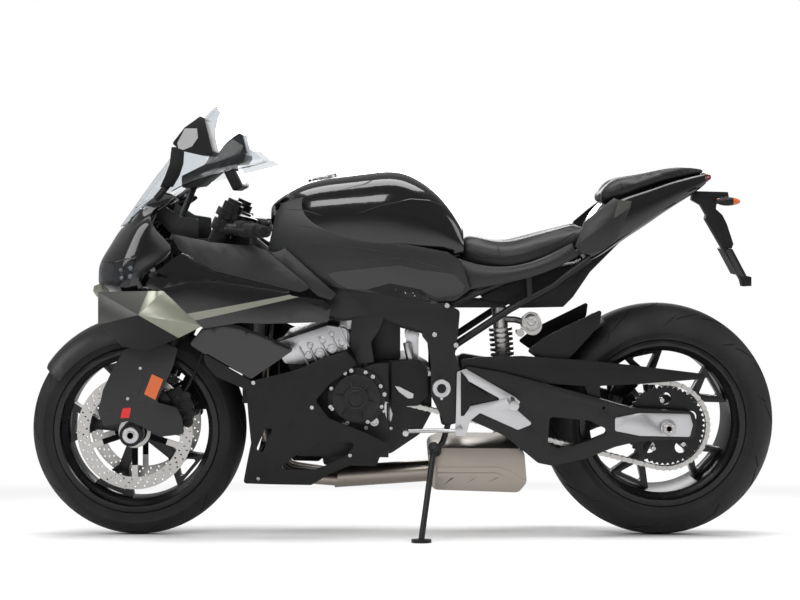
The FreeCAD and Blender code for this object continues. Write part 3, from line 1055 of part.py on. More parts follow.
PLATE_ARM_HALF_WIDTH, PLATE_ARM_CORNER = 12.0, 1.5
PLATE_BOARD_PIXELS = [(732.5, 249), (746.5, 275.5), (744.5, 276.8), (730.3, 250.2)]
PLATE_BOARD_HALF_WIDTH, PLATE_BOARD_CORNER = 70.0, 0.5
MIRROR_PIXELS = [(172, 143.6), (184.5, 127.5), (200.5, 116), (204.6, 119.5), (212.6, 151.6), (208.6, 155.6),
                 (195, 154), (181.8, 151)]
MIRROR_ARM_STATIONS = [  # front and rear column, row, inner and outer side
    (171.5, 184.5, 147, 314, 338), (169.5, 183.5, 164, 272, 296), (165, 179.5, 176, 232, 256), (160, 173, 187, 188, 210),
]
MIRROR_FOOT = ((167, 186, 198.0), (157, 198, 150.0))
MIRROR_FOOT_RADIUS = 9.0
DASH_PIXELS = [(182, 176), (226, 154), (246, 153), (243, 166), (222, 166), (198, 186), (182, 188)]


def side_panels():
    """The fairing's panels on both sides."""
    made = {
        "upper_band": skin(-4.0, UPPER_BAND_PIXELS),
        "side_panel": skin(2.0, SIDE_PANEL_PIXELS),
        "cockpit_cover": skin(0.0, COCKPIT_PIXELS),
        "fairing_strut": skin(-6.0, STRUT_PIXELS, 4.0),
        "cockpit_liner": plate(LINER_PIXELS, LINER_SIDE, LINER_SIDE + PANEL_WALL, 6.0),
        "mid_panel": skin(-4.0, MID_PANEL_PIXELS),
        "lower_panel": skin(0.0, LOWER_PANEL_PIXELS, 8.0, (LOWER_WINDOW_PIXELS, LOWER_SLOT_PIXELS)),
    }
    return made


def faceted(ring, apex, wall):
    """A shell of flat facets round an apex, a wall thick across the machine."""
    inward = V(0, -wall, 0)
    faces = []
    for one, two in zip(ring, ring[1:] + ring[:1]):
        faces.append([apex, one, two])
        faces.append([apex + inward, two + inward, one + inward])
        faces.append([one, one + inward, two])
        faces.append([two, one + inward, two + inward])
    shell = Part.makeShell([Part.Face(Part.makePolygon(corners + corners[:1])) for corners in faces])
    solid = Part.Solid(shell)
    if solid.Volume < 0:
        solid.reverse()
    return solid


def nose():
    """The nose cowl with its lamp face, lip, screen and winglets."""
    whole = sheet(both_sides([[seen(*p) for p in line] for line in NOSE_LINES]), PANEL_WALL)
    points = [seen(c, r, 130.0) for c, r in LAMP_PIXELS]
    tool = Part.Face(section([V(p.x, -260.0, p.z) for p in points], 3.0)).extrude(V(0, 520.0, 0))
    grown = Part.Face(section([V(p.x, -260.0, p.z) for p in points], 3.0).makeOffset2D(0.6)).extrude(V(0, 520.0, 0))
    lamp, cowl = whole.common(tool), whole.cut(grown)
    screen = sheet(both_sides([[V(*p) for p in line] for line in SCREEN_GRID]), PANEL_WALL)
    lip = plate(LIP_PIXELS, -LIP_HALF_WIDTH, LIP_HALF_WIDTH, 3.0).cut([cowl, lamp])
    wing = faceted([seen(*p) for p in WINGLET_RING], seen(*WINGLET_APEX), WINGLET_WALL)
    return {"nose_cowl": cowl, "headlights": lamp, "nose_lip": lip, "windscreen": screen, "winglet": wing}


def rear_body():
    """Seat, tail and what hangs from it."""
    seat = station_body(SEAT_STATIONS, SOFT_PROFILE)
    pillion = station_body(PILLION_STATIONS, SOFT_PROFILE)
    tail = station_body(TAIL_STATIONS, SOFT_PROFILE)
    side = sheet(seen_grid(TAIL_SIDE_LINES, TAIL_HALF_WIDTH), PANEL_WALL)
    tray = plate(UNDERTRAY_PIXELS, -52.0, 52.0, 4.0)
    bars = []
    for line in SUBFRAME_TUBES:
        bars.append(tube([seen(c, r, SUBFRAME_SIDE) for c, r in line], SUBFRAME_RADIUS, 40.0))
    bars.append(across(SUBFRAME_RADIUS, seen(453, 346, SUBFRAME_SIDE), SUBFRAME_SIDE - 8.0, PLATE_INNER + 1.0))
    arm = plate(PLATE_ARM_PIXELS, -PLATE_ARM_HALF_WIDTH, PLATE_ARM_HALF_WIDTH, PLATE_ARM_CORNER)
    board = plate(PLATE_BOARD_PIXELS, -PLATE_BOARD_HALF_WIDTH, PLATE_BOARD_HALF_WIDTH, PLATE_BOARD_CORNER)
    facet = faceted([seen(*p) for p in TAIL_FACET_RING], seen(*TAIL_FACET_APEX), PANEL_WALL)
    lamp = station_body(TAIL_LAMP_STATIONS, SOFT_PROFILE)
    return {"seat": seat, "pillion_seat": pillion, "tail_cover": tail, "tail_side": side, "tail_facet": facet,
            "undertray": tray, "subframe": fused(bars), "plate_holder": fused([arm, board]), "tail_lamp": lamp}


# Fittings
STAND_PIVOT = V(-97.0, 150.0, 272.0)
STAND_FOOT_X, STAND_FOOT_SIDE = -60.0, 294.5
STAND_FOLDED = V(-245.0, 34.0, 56.0)
STAND_PAD_RADIUS, STAND_PAD_HEIGHT = 26.0, 8.0
STAND_EYE_RADIUS, STAND_LEG_RADIUS, STAND_PIN_RADIUS = 14.0, 8.0, 6.0
PEG_PLACE = V(-304.0, 0, 403.0)
HANGER_PIXELS = [(457, 372), (466, 369), (515, 397), (521, 402), (515, 408), (533, 424), (518, 430), (480, 413),
                 (470, 421), (466, 436), (455, 436), (456, 415)]
HANGER_HOLE_PIXELS = [(468, 381), (502, 400), (468, 407)]
SHIFT_PIVOT = V(-56.0, 0, 300.0)


def stand_axis():
    """The stand's hinge: its place, its axis and the direction of the deployed leg."""
    floor = V(STAND_FOOT_X, STAND_FOOT_SIDE, STAND_FOOT_SIDE * tan(radians(LEAN)))
    down = (floor - STAND_PIVOT).normalize()
    axis = down.cross(STAND_FOLDED).normalize()
    return floor, down, axis


def stand_tongue():
    """The tongue on the frame that carries the side stand."""
    floor, down, axis = stand_axis()
    root = STAND_PIVOT - axis * 23.0
    rise = V(-40.0, 0.0, 78.0)
    rise = (rise - axis * rise.dot(axis)).normalize()
    knee = root + rise * 34.0
    return fused([cylinder(STAND_EYE_RADIUS, STAND_PIVOT - axis * 28.0, STAND_PIVOT - axis * 13.0),
                  cylinder(STAND_PIN_RADIUS, STAND_PIVOT - axis * 28.0, STAND_PIVOT + axis * 12.0),
                  cylinder(STAND_PIN_RADIUS + 4.0, STAND_PIVOT + axis * 8.5, STAND_PIVOT + axis * 12.0),
                  tube([root, knee, V(-140.0, 141.0, 352.0)], 8.0, 20.0)])


def side_stand():
    """The side stand, deployed."""
    floor, down, axis = stand_axis()
    up = V(0, -sin(radians(LEAN)), cos(radians(LEAN)))
    eye = cylinder(STAND_EYE_RADIUS, STAND_PIVOT - axis * 12.5, STAND_PIVOT + axis * 8.0)
    leg = cylinder(STAND_LEG_RADIUS, STAND_PIVOT, floor + up * (STAND_PAD_HEIGHT - 2.0))
    pad = cylinder(STAND_PAD_RADIUS, floor, floor + up * STAND_PAD_HEIGHT)
    pin = cylinder(STAND_PIN_RADIUS + RUNNING_GAP, STAND_PIVOT - axis * 30.0, STAND_PIVOT + axis * 30.0)
    stand = fused([eye, leg, pad]).cut(pin)
    under = Part.makeCylinder(300.0, 60.0, floor - up * 60.0, up)
    return {"side_stand": stand.cut(under)}


def footrests():
    """Hangers, pegs and pedals."""
    hanger = plate(HANGER_PIXELS, PLATE_OUTER, PLATE_OUTER + 7.0, 6.0)
    hanger = hanger.cut(plate(HANGER_HOLE_PIXELS, PLATE_OUTER - OVERRUN, PLATE_OUTER + 12.0, 4.0))
    peg = across(10.0, PEG_PLACE, PLATE_OUTER + 6.0, 252.0)
    peg = fused([peg, across(13.0, PEG_PLACE, 246.0, 254.0)])
    left = fused([hanger, peg])
    pedal = fused([tube([V(-168.0, 166.0, 320.0), V(-110.0, 166.0, 322.0), V(-20.0, 176.0, 322.0)], 5.5, 20.0),
                   across(8.0, V(-20.0, 0, 322.0), 174.0, 208.0), across(11.0, V(-164.0, 0, 320.0), 159.0, 172.0)])
    return {"footrests": pair(left), "pedals": pair(pedal)}


def mirror():
    """The left mirror on its arm."""
    head = plate(MIRROR_PIXELS, 306.0, 424.0, 6.0)
    rings = []
    for front, rear, row, inner, outer in MIRROR_ARM_STATIONS:
        ring = [seen(front, row, inner), seen(front, row, outer), seen(rear, row, outer), seen(rear, row, inner)]
        rings.append(Part.makePolygon(ring + ring[:1]))
    foot = cylinder(MIRROR_FOOT_RADIUS, *[seen(*place) for place in MIRROR_FOOT])
    return fused([head, station_loft(rings, True), foot])


def dashboard():
    """The instrument panel on its stay behind the screen."""
    body = plate(DASH_PIXELS, -78.0, 78.0, 5.0)
    return {"instruments": body}


def fuel_tank_and_cap():
    """The tank with a seat for its filler lid, and the lid, hinged at its front."""
    normal = V(sin(radians(CAP_TILT)), 0, cos(radians(CAP_TILT)))
    ahead = V(normal.z, 0, -normal.x)
    seat = CAP_CENTRE
    hinge = seat + ahead * (CAP_RADIUS + 7.0) + normal * 6.0
    clear = Part.makeCylinder(CAP_RADIUS + 16.0, 60.0, seat, normal)
    boss = Part.makeCylinder(CAP_RADIUS + 6.0, 24.0, seat - normal * 24.0, normal)
    ear = fused([across(4.5, hinge, 7.0, 12.0), across(4.5, hinge, -12.0, -7.0), across(2.0, hinge, -12.0, 12.0)])
    ear_foot = fused([across(4.5, hinge - normal * 6.0, 7.0, 12.0), across(4.5, hinge - normal * 6.0, -12.0, -7.0)])
    tank = fused([fuel_tank().cut(clear), boss, ear, ear_foot])
    lid = Part.makeCylinder(CAP_RADIUS, 10.0, seat + normal * FIT, normal)
    tongue = Part.makeBox(16.0, 12.0, 5.0, V(0, 0, 0))
    tongue.translate(V(CAP_RADIUS - 8.0, -6.0, 3.5))
    tongue.rotate(ORIGIN, Y_AXIS, CAP_TILT)
    tongue.translate(seat)
    knuckle = across(4.5, hinge, -6.0, 6.0)
    lid = fused([lid, tongue, knuckle]).cut(across(2.0 + RUNNING_GAP, hinge, -20.0, 20.0))
    return tank, lid


def parked(shape):
    """The machine leaned onto its stand."""
    copy = shape.copy()
    copy.rotate(ORIGIN, X_AXIS, -LEAN)
    return copy


def nodes():
    """Every piece by name, in the upright machine's frame."""
    made = {}
    made.update(wheels())
    made.update(front_end())
    made.update(rear_end())
    panels = side_panels()
    face = nose()
    face["nose_cowl"] = largest(face["nose_cowl"].cut([panels["upper_band"], panels["cockpit_cover"]]))
    panels["nose_cowl"] = face["nose_cowl"]
    panels.update(dashboard())
    made["main_frame"] = main_frame(panels)
    made.update(power_unit(panels))
    made.update(exhaust())
    made["exhaust"] = made["exhaust"].cut(made["cylinder_head"])
    made.update(radiator(panels))
    back = rear_body()
    winglet = largest(face["winglet"].cut([panels["side_panel"], panels["upper_band"], panels["mid_panel"]]))
    made["side_fairing"] = both([panels["upper_band"], panels["side_panel"], panels["mid_panel"]])
    sweep = bar_sweep()
    strut = largest(panels["fairing_strut"].cut(sweep))
    made["cockpit_covers"] = both([largest(panels["cockpit_cover"].cut(sweep)), strut, panels["cockpit_liner"]])
    made["lower_fairing"] = pair(panels["lower_panel"])
    made["windscreen"] = face["windscreen"]
    made["nose_cowl"] = face["nose_cowl"].cut(face["windscreen"])
    made["headlights"] = face["headlights"]
    made["winglets"] = Part.makeCompound([winglet, mirrored(winglet), largest(face["nose_lip"])])
    made["fuel_tank"], made["fuel_cap"] = fuel_tank_and_cap()
    made["fuel_tank"] = made["fuel_tank"].cut(made["main_frame"])
    cover = flank(0.0, TANK_COVER_PIXELS, 8.0, 10.0).cut([made["fuel_tank"], made["main_frame"]])
    made["tank_covers"] = pair(largest(cover))
    tail = back["tail_cover"].cut(back["pillion_seat"])
    facet = largest(back["tail_facet"].cut([tail, back["pillion_seat"], back["seat"], back["tail_side"]]))
    tail = fused([tail] + stay(*[seen(*place) for place in TAIL_FACET_STAY], facet))
    tray = largest(back["undertray"].cut([tail, made["main_frame"]]))
    bars = fused([back["subframe"]] + stay(seen(530, 272, SUBFRAME_SIDE), seen(530, 272, 150.0), back["tail_side"])[:1])
    bars = largest(bars.cut([tail, back["seat"], made["main_frame"]]))
    made["tail_lamp"] = largest(back["tail_lamp"].cut([tail, back["pillion_seat"]]))
    made["seat"] = back["seat"].cut([made["fuel_tank"]])
    made["pillion_seat"] = back["pillion_seat"]
    made["tail_cover"] = tail
    made["tail_sides"] = both([back["tail_side"], facet])
    made["undertray"] = tray
    made["plate_holder"] = back["plate_holder"].cut([tail, tray])
    made["subframe"] = pair(bars)
    made.update(side_stand())
    made.update(footrests())
    made["mirrors"] = pair(largest(mirror().cut([made["nose_cowl"], made["windscreen"]])))
    made.update(dashboard())
    made["rear_shock"] = made["rear_shock"].cut(made["main_frame"])
    made["hand_controls"] = Part.makeCompound([made.pop("left_controls"), made.pop("right_controls")])
    made["fork_clamps"] = Part.makeCompound([made.pop("lower_clamp"), made.pop("upper_clamp")])
    return made


def both(shapes):
    """Left pieces and their right twins."""
    return Part.makeCompound(shapes + [mirrored(shape) for shape in shapes])


def largest(shape):
    """The biggest solid, when a cut leaves scraps."""
    return max(shape.Solids, key=lambda solid: solid.Volume)


def export(pieces):
    """Lean every piece, set the origin under the middle and write the files."""
    leaned = {name: parked(shape) for name, shape in pieces.items()}
    whole = Part.makeCompound(list(leaned.values())).optimalBoundingBox(False)
    shift = V(-(whole.XMin + whole.XMax) / 2, -(whole.YMin + whole.YMax) / 2, -whole.ZMin)
    os.makedirs("parts", exist_ok=True)
    for name, shape in leaned.items():
        shape.translate(shift)
        shape.exportStep(os.path.join("parts", name + ".step"))
    print("shift", shift)


if __name__ == "__main__":
    export(nodes())
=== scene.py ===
"""Looks of a fully faired sport motorcycle parked on its side stand.

Pieces are drawn in the upright machine's coordinates, in metres (+X forward, +Y to its left, +Z up, X zero midway
between the axles, Z zero on the floor) and settle() leans them with the frame.
"""
import json
from math import asin, atan2, cos, pi, radians, sin

import bpy
from mathutils import Matrix, Vector

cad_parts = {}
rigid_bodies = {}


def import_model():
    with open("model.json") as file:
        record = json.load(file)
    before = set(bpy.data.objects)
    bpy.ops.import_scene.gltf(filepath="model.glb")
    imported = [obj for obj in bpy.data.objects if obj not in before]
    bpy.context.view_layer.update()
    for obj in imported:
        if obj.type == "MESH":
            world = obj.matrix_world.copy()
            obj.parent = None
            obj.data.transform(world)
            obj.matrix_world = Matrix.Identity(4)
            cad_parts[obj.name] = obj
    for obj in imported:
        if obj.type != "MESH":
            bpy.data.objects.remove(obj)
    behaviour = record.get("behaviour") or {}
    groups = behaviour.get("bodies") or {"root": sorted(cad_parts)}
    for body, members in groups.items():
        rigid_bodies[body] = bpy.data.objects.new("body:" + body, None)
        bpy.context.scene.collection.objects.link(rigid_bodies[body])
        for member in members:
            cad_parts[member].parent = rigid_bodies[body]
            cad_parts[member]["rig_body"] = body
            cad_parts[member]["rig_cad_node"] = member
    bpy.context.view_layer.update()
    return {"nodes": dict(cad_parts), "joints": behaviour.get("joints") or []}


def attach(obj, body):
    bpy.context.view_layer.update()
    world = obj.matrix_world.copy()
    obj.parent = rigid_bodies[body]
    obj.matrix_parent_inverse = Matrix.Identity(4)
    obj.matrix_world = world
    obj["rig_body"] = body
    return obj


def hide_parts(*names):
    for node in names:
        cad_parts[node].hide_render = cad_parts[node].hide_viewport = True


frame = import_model()
nodes = frame["nodes"]

LEAN = radians(11.0)
WHEELBASE = 1.457
EYE_DISTANCE, EYE_HEIGHT = 3.4, 0.942
EYE_ROW, MID_COLUMN, WHEELBASE_PIXELS = 200.0, 398.1, 515.2
PHOTO_WIDTH, PHOTO_HEIGHT = 800.0, 600.0
# Tyres: outer radius, half width, crown radius and half the rim's width
FRONT_TYRE, REAR_TYRE = (0.3, 0.06, 0.064, 0.05), (0.325, 0.099, 0.104, 0.082)
FRONT_LIFT, REAR_LIFT = (crown / cos(LEAN) - crown for crown in (FRONT_TYRE[2], REAR_TYRE[2]))
FRONT_AXLE = Vector((WHEELBASE / 2, 0, FRONT_TYRE[0] + FRONT_LIFT))
REAR_AXLE = Vector((-WHEELBASE / 2, 0, REAR_TYRE[0] + REAR_LIFT))

LEANED = Matrix.Rotation(-LEAN, 4, "X")
wheel_place = Vector(next(j["pos_m"] for j in frame["joints"] if j["name"] == "front_wheel_spin"))
BIKE = Matrix.Translation(wheel_place - LEANED @ FRONT_AXLE) @ LEANED


def seen(column, row, side=0.0):
    """The place that the photograph shows at a pixel, on the plane that lies side to the left of the middle."""
    scale = WHEELBASE / WHEELBASE_PIXELS * (EYE_DISTANCE - side) / EYE_DISTANCE
    return Vector(((MID_COLUMN - column) * scale, side, EYE_HEIGHT - (row - EYE_ROW) * scale))

# Materials


def new_group(name, inputs, outputs):
    """An empty shader group with named sockets."""
    group = bpy.data.node_groups.new(name, "ShaderNodeTree")
    for label, kind, value in inputs:
        socket = group.interface.new_socket(label, in_out="INPUT", socket_type="NodeSocket" + kind)
        socket.default_value = value
    for label, kind in outputs:
        group.interface.new_socket(label, in_out="OUTPUT", socket_type="NodeSocket" + kind)
    return group, group.nodes.new("NodeGroupInput"), group.nodes.new("NodeGroupOutput")


def node(tree, kind, values=None, **settings):
    """A node with its settings and plain values."""
    made = tree.nodes.new("ShaderNode" + kind)
    for name, value in settings.items():
        setattr(made, name, value)
    for name, value in (values or {}).items():
        made.inputs[name].default_value = value
    return made


def linked(tree, *routes):
    """Links nodes, each route a node, its output, the next node and its input."""
    for start, output, end, entry in routes:
        tree.links.new(start.outputs[output], end.inputs[entry])


def grain_group():
    """Moulded grain: a fine pebbled height and a patchy roughness."""
    group, start, end = new_group(
        "moulded grain", [("Scale", "Float", 900.0), ("Depth", "Float", 0.2), ("Rough", "Float", 0.5),
                          ("Patches", "Float", 0.1)], [("Normal", "Vector"), ("Roughness", "Float")])
    place = node(group, "TexCoord")
    pebble = node(group, "TexVoronoi", feature="SMOOTH_F1")
    cloud = node(group, "TexNoise", {"Scale": 9.0, "Detail": 5.0, "Roughness": 0.6})
    bump = node(group, "Bump", {"Distance": 0.0004})
    spread = node(group, "MapRange", {"From Min": 0.3, "From Max": 0.7, "To Min": -1.0, "To Max": 1.0})
    patch = node(group, "Math", operation="MULTIPLY_ADD")
    linked(group, (place, "Object", pebble, "Vector"), (place, "Object", cloud, "Vector"),
           (start, "Scale", pebble, "Scale"), (pebble, "Distance", bump, "Height"),
           (start, "Depth", bump, "Strength"), (cloud, "Fac", spread, "Value"), (spread, "Result", patch, 0),
           (start, "Patches", patch, 1), (start, "Rough", patch, 2), (bump, "Normal", end, "Normal"),
           (patch, "Value", end, "Roughness"))
    return group


def brushed_group():
    """Fine scratches drawn along one direction."""
    group, start, end = new_group(
        "brushing", [("Stretch", "Vector", (20.0, 600.0, 600.0)), ("Depth", "Float", 0.15), ("Rough", "Float", 0.3),
                     ("Spread", "Float", 0.15)], [("Normal", "Vector"), ("Roughness", "Float"), ("Streaks", "Float")])
    place = node(group, "TexCoord")
    lines = node(group, "Mapping")
    noise = node(group, "TexNoise", {"Scale": 1.0, "Detail": 3.0})
    bump = node(group, "Bump", {"Distance": 0.0003})
    patch = node(group, "Math", operation="MULTIPLY_ADD")
    linked(group, (place, "Object", lines, "Vector"), (start, "Stretch", lines, "Scale"),
           (lines, "Vector", noise, "Vector"), (noise, "Fac", bump, "Height"), (start, "Depth", bump, "Strength"),
           (noise, "Fac", patch, 0), (start, "Spread", patch, 1), (start, "Rough", patch, 2),
           (bump, "Normal", end, "Normal"), (patch, "Value", end, "Roughness"), (noise, "Fac", end, "Streaks"))
    return group


def dust_group():
    """A thin veil of road dust in random patches."""
    group, start, end = new_group(
        "road dust", [("Colour", "Color", (0.02, 0.02, 0.02, 1)), ("Amount", "Float", 0.1)], [("Colour", "Color")])
    place = node(group, "TexCoord")
    noise = node(group, "TexNoise", {"Scale": 14.0, "Detail": 7.0, "Roughness": 0.65})
    spots = node(group, "MapRange", {"From Min": 0.42, "From Max": 0.75})
    amount = node(group, "Math", operation="MULTIPLY")
    mix = node(group, "Mix", data_type="RGBA")
    linked(group, (place, "Object", noise, "Vector"), (noise, "Fac", spots, "Value"), (spots, "Result", amount, 0),
           (start, "Amount", amount, 1), (amount, "Value", mix, "Factor"), (start, "Colour", mix, 6))
    mix.inputs[7].default_value = (0.2, 0.19, 0.17, 1)
    linked(group, (mix, 2, end, "Colour"))
    return group


GRAIN, BRUSHED, DUST = grain_group(), brushed_group(), dust_group()


def finish(name, colour, dust=0.0, grain=None, brushed=None, alpha=1.0, **sockets):
    """A principled material with its grain or brushing and a veil of dust."""
    material = bpy.data.materials.new(name)
    material.use_nodes = True
    tree = material.node_tree
    shader = tree.nodes["Principled BSDF"]
    shader.inputs["Base Color"].default_value = (*colour, 1)
    for label, value in sockets.items():
        shader.inputs[label.replace("_", " ")].default_value = value
    if dust:
        veil = node(tree, "Group", node_tree=DUST)
        veil.inputs["Colour"].default_value = (*colour, 1)
        veil.inputs["Amount"].default_value = dust
        linked(tree, (veil, "Colour", shader, "Base Color"))
    surface = node(tree, "Group", node_tree=BRUSHED if brushed else GRAIN)
    for label, value in (brushed or grain or {}).items():
        surface.inputs[label].default_value = value
    linked(tree, (surface, "Normal", shader, "Normal"), (surface, "Roughness", shader, "Roughness"))
    shader.inputs["Alpha"].default_value = alpha
    return material


def grain(scale, depth, rough, patches=0.04):
    """Values of the moulded grain."""
    return {"Scale": scale, "Depth": depth, "Rough": rough, "Patches": patches}


def brushing(stretch, depth, rough, spread=0.12):
    """Values of the brushing."""
    return {"Stretch": stretch, "Depth": depth, "Rough": rough, "Spread": spread}


gloss_black = finish("gloss black lacquer", (0.0025, 0.0025, 0.0028), 0.006, grain(260, 0.012, 0.16, 0.03),
                     Specular_IOR_Level=0.2, Coat_Weight=0.7, Coat_Roughness=0.03)
satin_grey = finish("satin grey lacquer", (0.0115, 0.0118, 0.0125), 0.01, grain(1500, 0.05, 0.4, 0.04),
                    Specular_IOR_Level=0.32)
matt_black = finish("matt black plastic", (0.0042, 0.0042, 0.0045), 0.012, grain(1100, 0.25, 0.5, 0.05),
                    Specular_IOR_Level=0.22)
cream_lacquer = finish("cream metallic lacquer", (0.2, 0.205, 0.165), 0.02, grain(2600, 0.08, 0.33, 0.05), Metallic=0.7,
                       Coat_Weight=0.25)
winglet_grey = finish("grey metallic lacquer", (0.05, 0.05, 0.046), 0.02, grain(2600, 0.08, 0.36, 0.05), Metallic=0.4)
clear_screen = finish("clear screen", (0.8, 0.82, 0.84), 0.0, grain(30, 0.0, 0.02, 0.01), Transmission_Weight=1.0,
                      IOR=1.2)
frame_black = finish("coated frame", (0.0055, 0.0055, 0.006), 0.012, grain(1300, 0.16, 0.42, 0.05),
                     Specular_IOR_Level=0.28)
engine_dark = finish("dark casting", (0.011, 0.011, 0.0115), 0.04, grain(620, 0.45, 0.46, 0.06), Metallic=0.35,
                     Specular_IOR_Level=0.3)
bright_alloy = finish("bare cast alloy", (0.42, 0.42, 0.43), 0.08, grain(700, 0.35, 0.34, 0.08), Metallic=1.0)
steel = finish("brushed steel", (0.38, 0.37, 0.36), 0.05, brushed=brushing((40, 900, 900), 0.1, 0.24), Metallic=1.0)
hot_steel = finish("heat tinted steel", (0.27, 0.24, 0.21), 0.08, brushed=brushing((60, 500, 500), 0.12, 0.26),
                   Metallic=1.0)
wheel_black = finish("cast wheel black", (0.0035, 0.0035, 0.0038), 0.01, grain(900, 0.1, 0.28, 0.04),
                     Specular_IOR_Level=0.3)
tyre_rubber = finish("tyre rubber", (0.0065, 0.0065, 0.0065), 0.03, grain(1000, 0.3, 0.62, 0.06),
                     Specular_IOR_Level=0.25)
soft_rubber = finish("soft rubber", (0.005, 0.005, 0.005), 0.01, grain(1600, 0.3, 0.6, 0.05), Specular_IOR_Level=0.25)
seat_vinyl = finish("grained seat cover", (0.005, 0.005, 0.0053), 0.008, grain(480, 0.6, 0.46, 0.05),
                    Specular_IOR_Level=0.3)
dark_anodised = finish("dark anodised alloy", (0.012, 0.012, 0.013), 0.015, brushed=brushing((400, 400, 30), 0.08, 0.3),
                       Metallic=0.6, Specular_IOR_Level=0.3)
lamp_glass = finish("lamp lens", (0.35, 0.36, 0.38), 0.0, grain(60, 0.0, 0.02, 0.01), Transmission_Weight=1.0, IOR=1.15,
                    Coat_Weight=0.4)
lamp_dark = finish("lamp housing", (0.01, 0.01, 0.011), 0.0, grain(500, 0.1, 0.25, 0.04))
bright_lens = finish("projector lens", (0.8, 0.82, 0.85), 0.0, grain(60, 0.0, 0.05, 0.02), Metallic=0.3,
                     Coat_Weight=1.0)
pale_lens = finish("pale lens", (0.33, 0.33, 0.33), 0.0, grain(420, 0.12, 0.1, 0.02), Coat_Weight=1.0)
red_lens = finish("red lens", (0.16, 0.003, 0.004), 0.0, grain(500, 0.2, 0.1, 0.02), Transmission_Weight=0.3)
amber_lens = finish("amber reflector", (0.5, 0.085, 0.004), 0.0, grain(700, 0.3, 0.3, 0.02), Coat_Weight=0.2)
mirror_glass = finish("mirror glass", (0.75, 0.77, 0.8), 0.0, grain(30, 0.0, 0.02, 0.01), Metallic=1.0)
red_paint = finish("red lacquer", (0.55, 0.003, 0.004), 0.0, grain(900, 0.05, 0.4, 0.04))

SMOOTH_ANGLE, EDGE_ANGLE, FLAT_ANGLE = radians(32.0), radians(38.0), radians(0.4)
MERGE_DISTANCE = 2e-5
SIDEWAYS = (0, 1, 0)

# Modelling helpers


def pick(piece):
    """Makes one piece the only one selected."""
    bpy.ops.object.select_all(action="DESELECT")
    piece.select_set(True)
    bpy.context.view_layer.objects.active = piece


def joined(pieces):
    """Several pieces made one."""
    pick(pieces[0])
    for piece in pieces:
        piece.select_set(True)
    bpy.ops.object.join()
    return pieces[0]


def applied(piece):
    """Puts a piece's place, turn and size into its mesh."""
    pick(piece)
    bpy.ops.object.transform_apply(location=True, rotation=True, scale=True)
    return piece


def copied(piece):
    """A copy of a piece with its own mesh."""
    twin = piece.copy()
    twin.data = piece.data.copy()
    bpy.context.scene.collection.objects.link(twin)
    return twin


def repeated(piece, places):
    """One piece copied to every place, the copies joined into one."""
    applied(piece)
    twins = []
    for place in places:
        twins.append(copied(piece))
        twins[-1].data.transform(place)
    bpy.data.objects.remove(piece)
    return joined(twins)


def both_sides(piece):
    """A left piece and its right twin as one."""
    twin = copied(applied(piece))
    twin.data.transform(Matrix.Scale(-1, 4, SIDEWAYS))
    twin.data.flip_normals()
    return joined([piece, twin])


def worn(piece, body, material, slot):
    """Gives a piece its finish and its body. The slot is not used."""
    piece.data.materials.clear()
    piece.data.materials.append(material)
    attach(piece, body)
    return piece


def settle(piece, name, body, coat, angle=SMOOTH_ANGLE):
    """Names a piece drawn upright, leans it with the machine and gives it its finish and its body."""
    applied(piece)
    piece.name = name
    piece.data.transform(BIKE)
    piece.data.update()
    pick(piece)
    bpy.ops.object.shade_smooth_by_angle(angle=angle)
    return worn(piece, body, *coat)


def finished(pieces, name, body, coat, twin=True):
    """Pieces made one, on both sides or as drawn, with their finish."""
    piece = joined(pieces)
    return settle(both_sides(piece) if twin else piece, name, body, coat)


def modified(piece, kind, **settings):
    """A piece with one modifier applied."""
    pick(piece)
    change = piece.modifiers.new("change", kind)
    for name, value in settings.items():
        setattr(change, name, value)
    bpy.ops.object.modifier_apply(modifier=change.name)
    return piece


def carved(piece, tool, operation="DIFFERENCE"):
    """A piece with the tool's shape cut out of it, or cut down to the tool's shape."""
    modified(piece, "BOOLEAN", object=tool, operation=operation, solver="EXACT")
    bpy.data.objects.remove(tool)
    return piece


def chosen(piece, test=lambda middle, normal: True):
    """Opens edit mode with only the faces selected whose middle and normal pass the test."""
    pick(piece)
    bpy.ops.object.mode_set(mode="EDIT")
    bpy.ops.mesh.select_mode(type="FACE")
    bpy.ops.mesh.select_all(action="DESELECT")
    bpy.ops.object.mode_set(mode="OBJECT")
    for face in piece.data.polygons:
        face.select = test(face.center, face.normal)
    bpy.ops.object.mode_set(mode="EDIT")


def closed():
    """Back to object mode."""
    bpy.ops.object.mode_set(mode="OBJECT")


def outward(piece, merge=True):
    """A piece with its doubles merged, where asked, and its faces turned outward."""
    chosen(piece)
    if merge:
        bpy.ops.mesh.remove_doubles(threshold=MERGE_DISTANCE)
    bpy.ops.mesh.normals_make_consistent(inside=False)
    closed()
    return piece


def bar(radius, start, end, sides=24):
    """A round bar between two places."""
    run = end - start
    bpy.ops.mesh.primitive_cylinder_add(vertices=sides, radius=radius, depth=run.length, location=(start + end) / 2,
                                        rotation=run.to_track_quat("Z", "Y").to_euler())
    return bpy.context.object


def block(low, high):
    """A box between two corners."""
    bpy.ops.mesh.primitive_cube_add(size=1, location=(low + high) / 2)
    piece = bpy.context.object
    piece.scale = high - low
    return applied(piece)


def slab(size, edge, segments):
    """A flat box with rounded edges, its middle on the origin."""
    corner = Vector(size) / 2
    return modified(block(-corner, corner), "BEVEL", width=edge, segments=segments)


def ball(radius, place, stretch, rings):
    """A stretched ball."""
    bpy.ops.mesh.primitive_uv_sphere_add(segments=24, ring_count=rings, radius=radius, location=place)
    bpy.context.object.scale = stretch
    return applied(bpy.context.object)


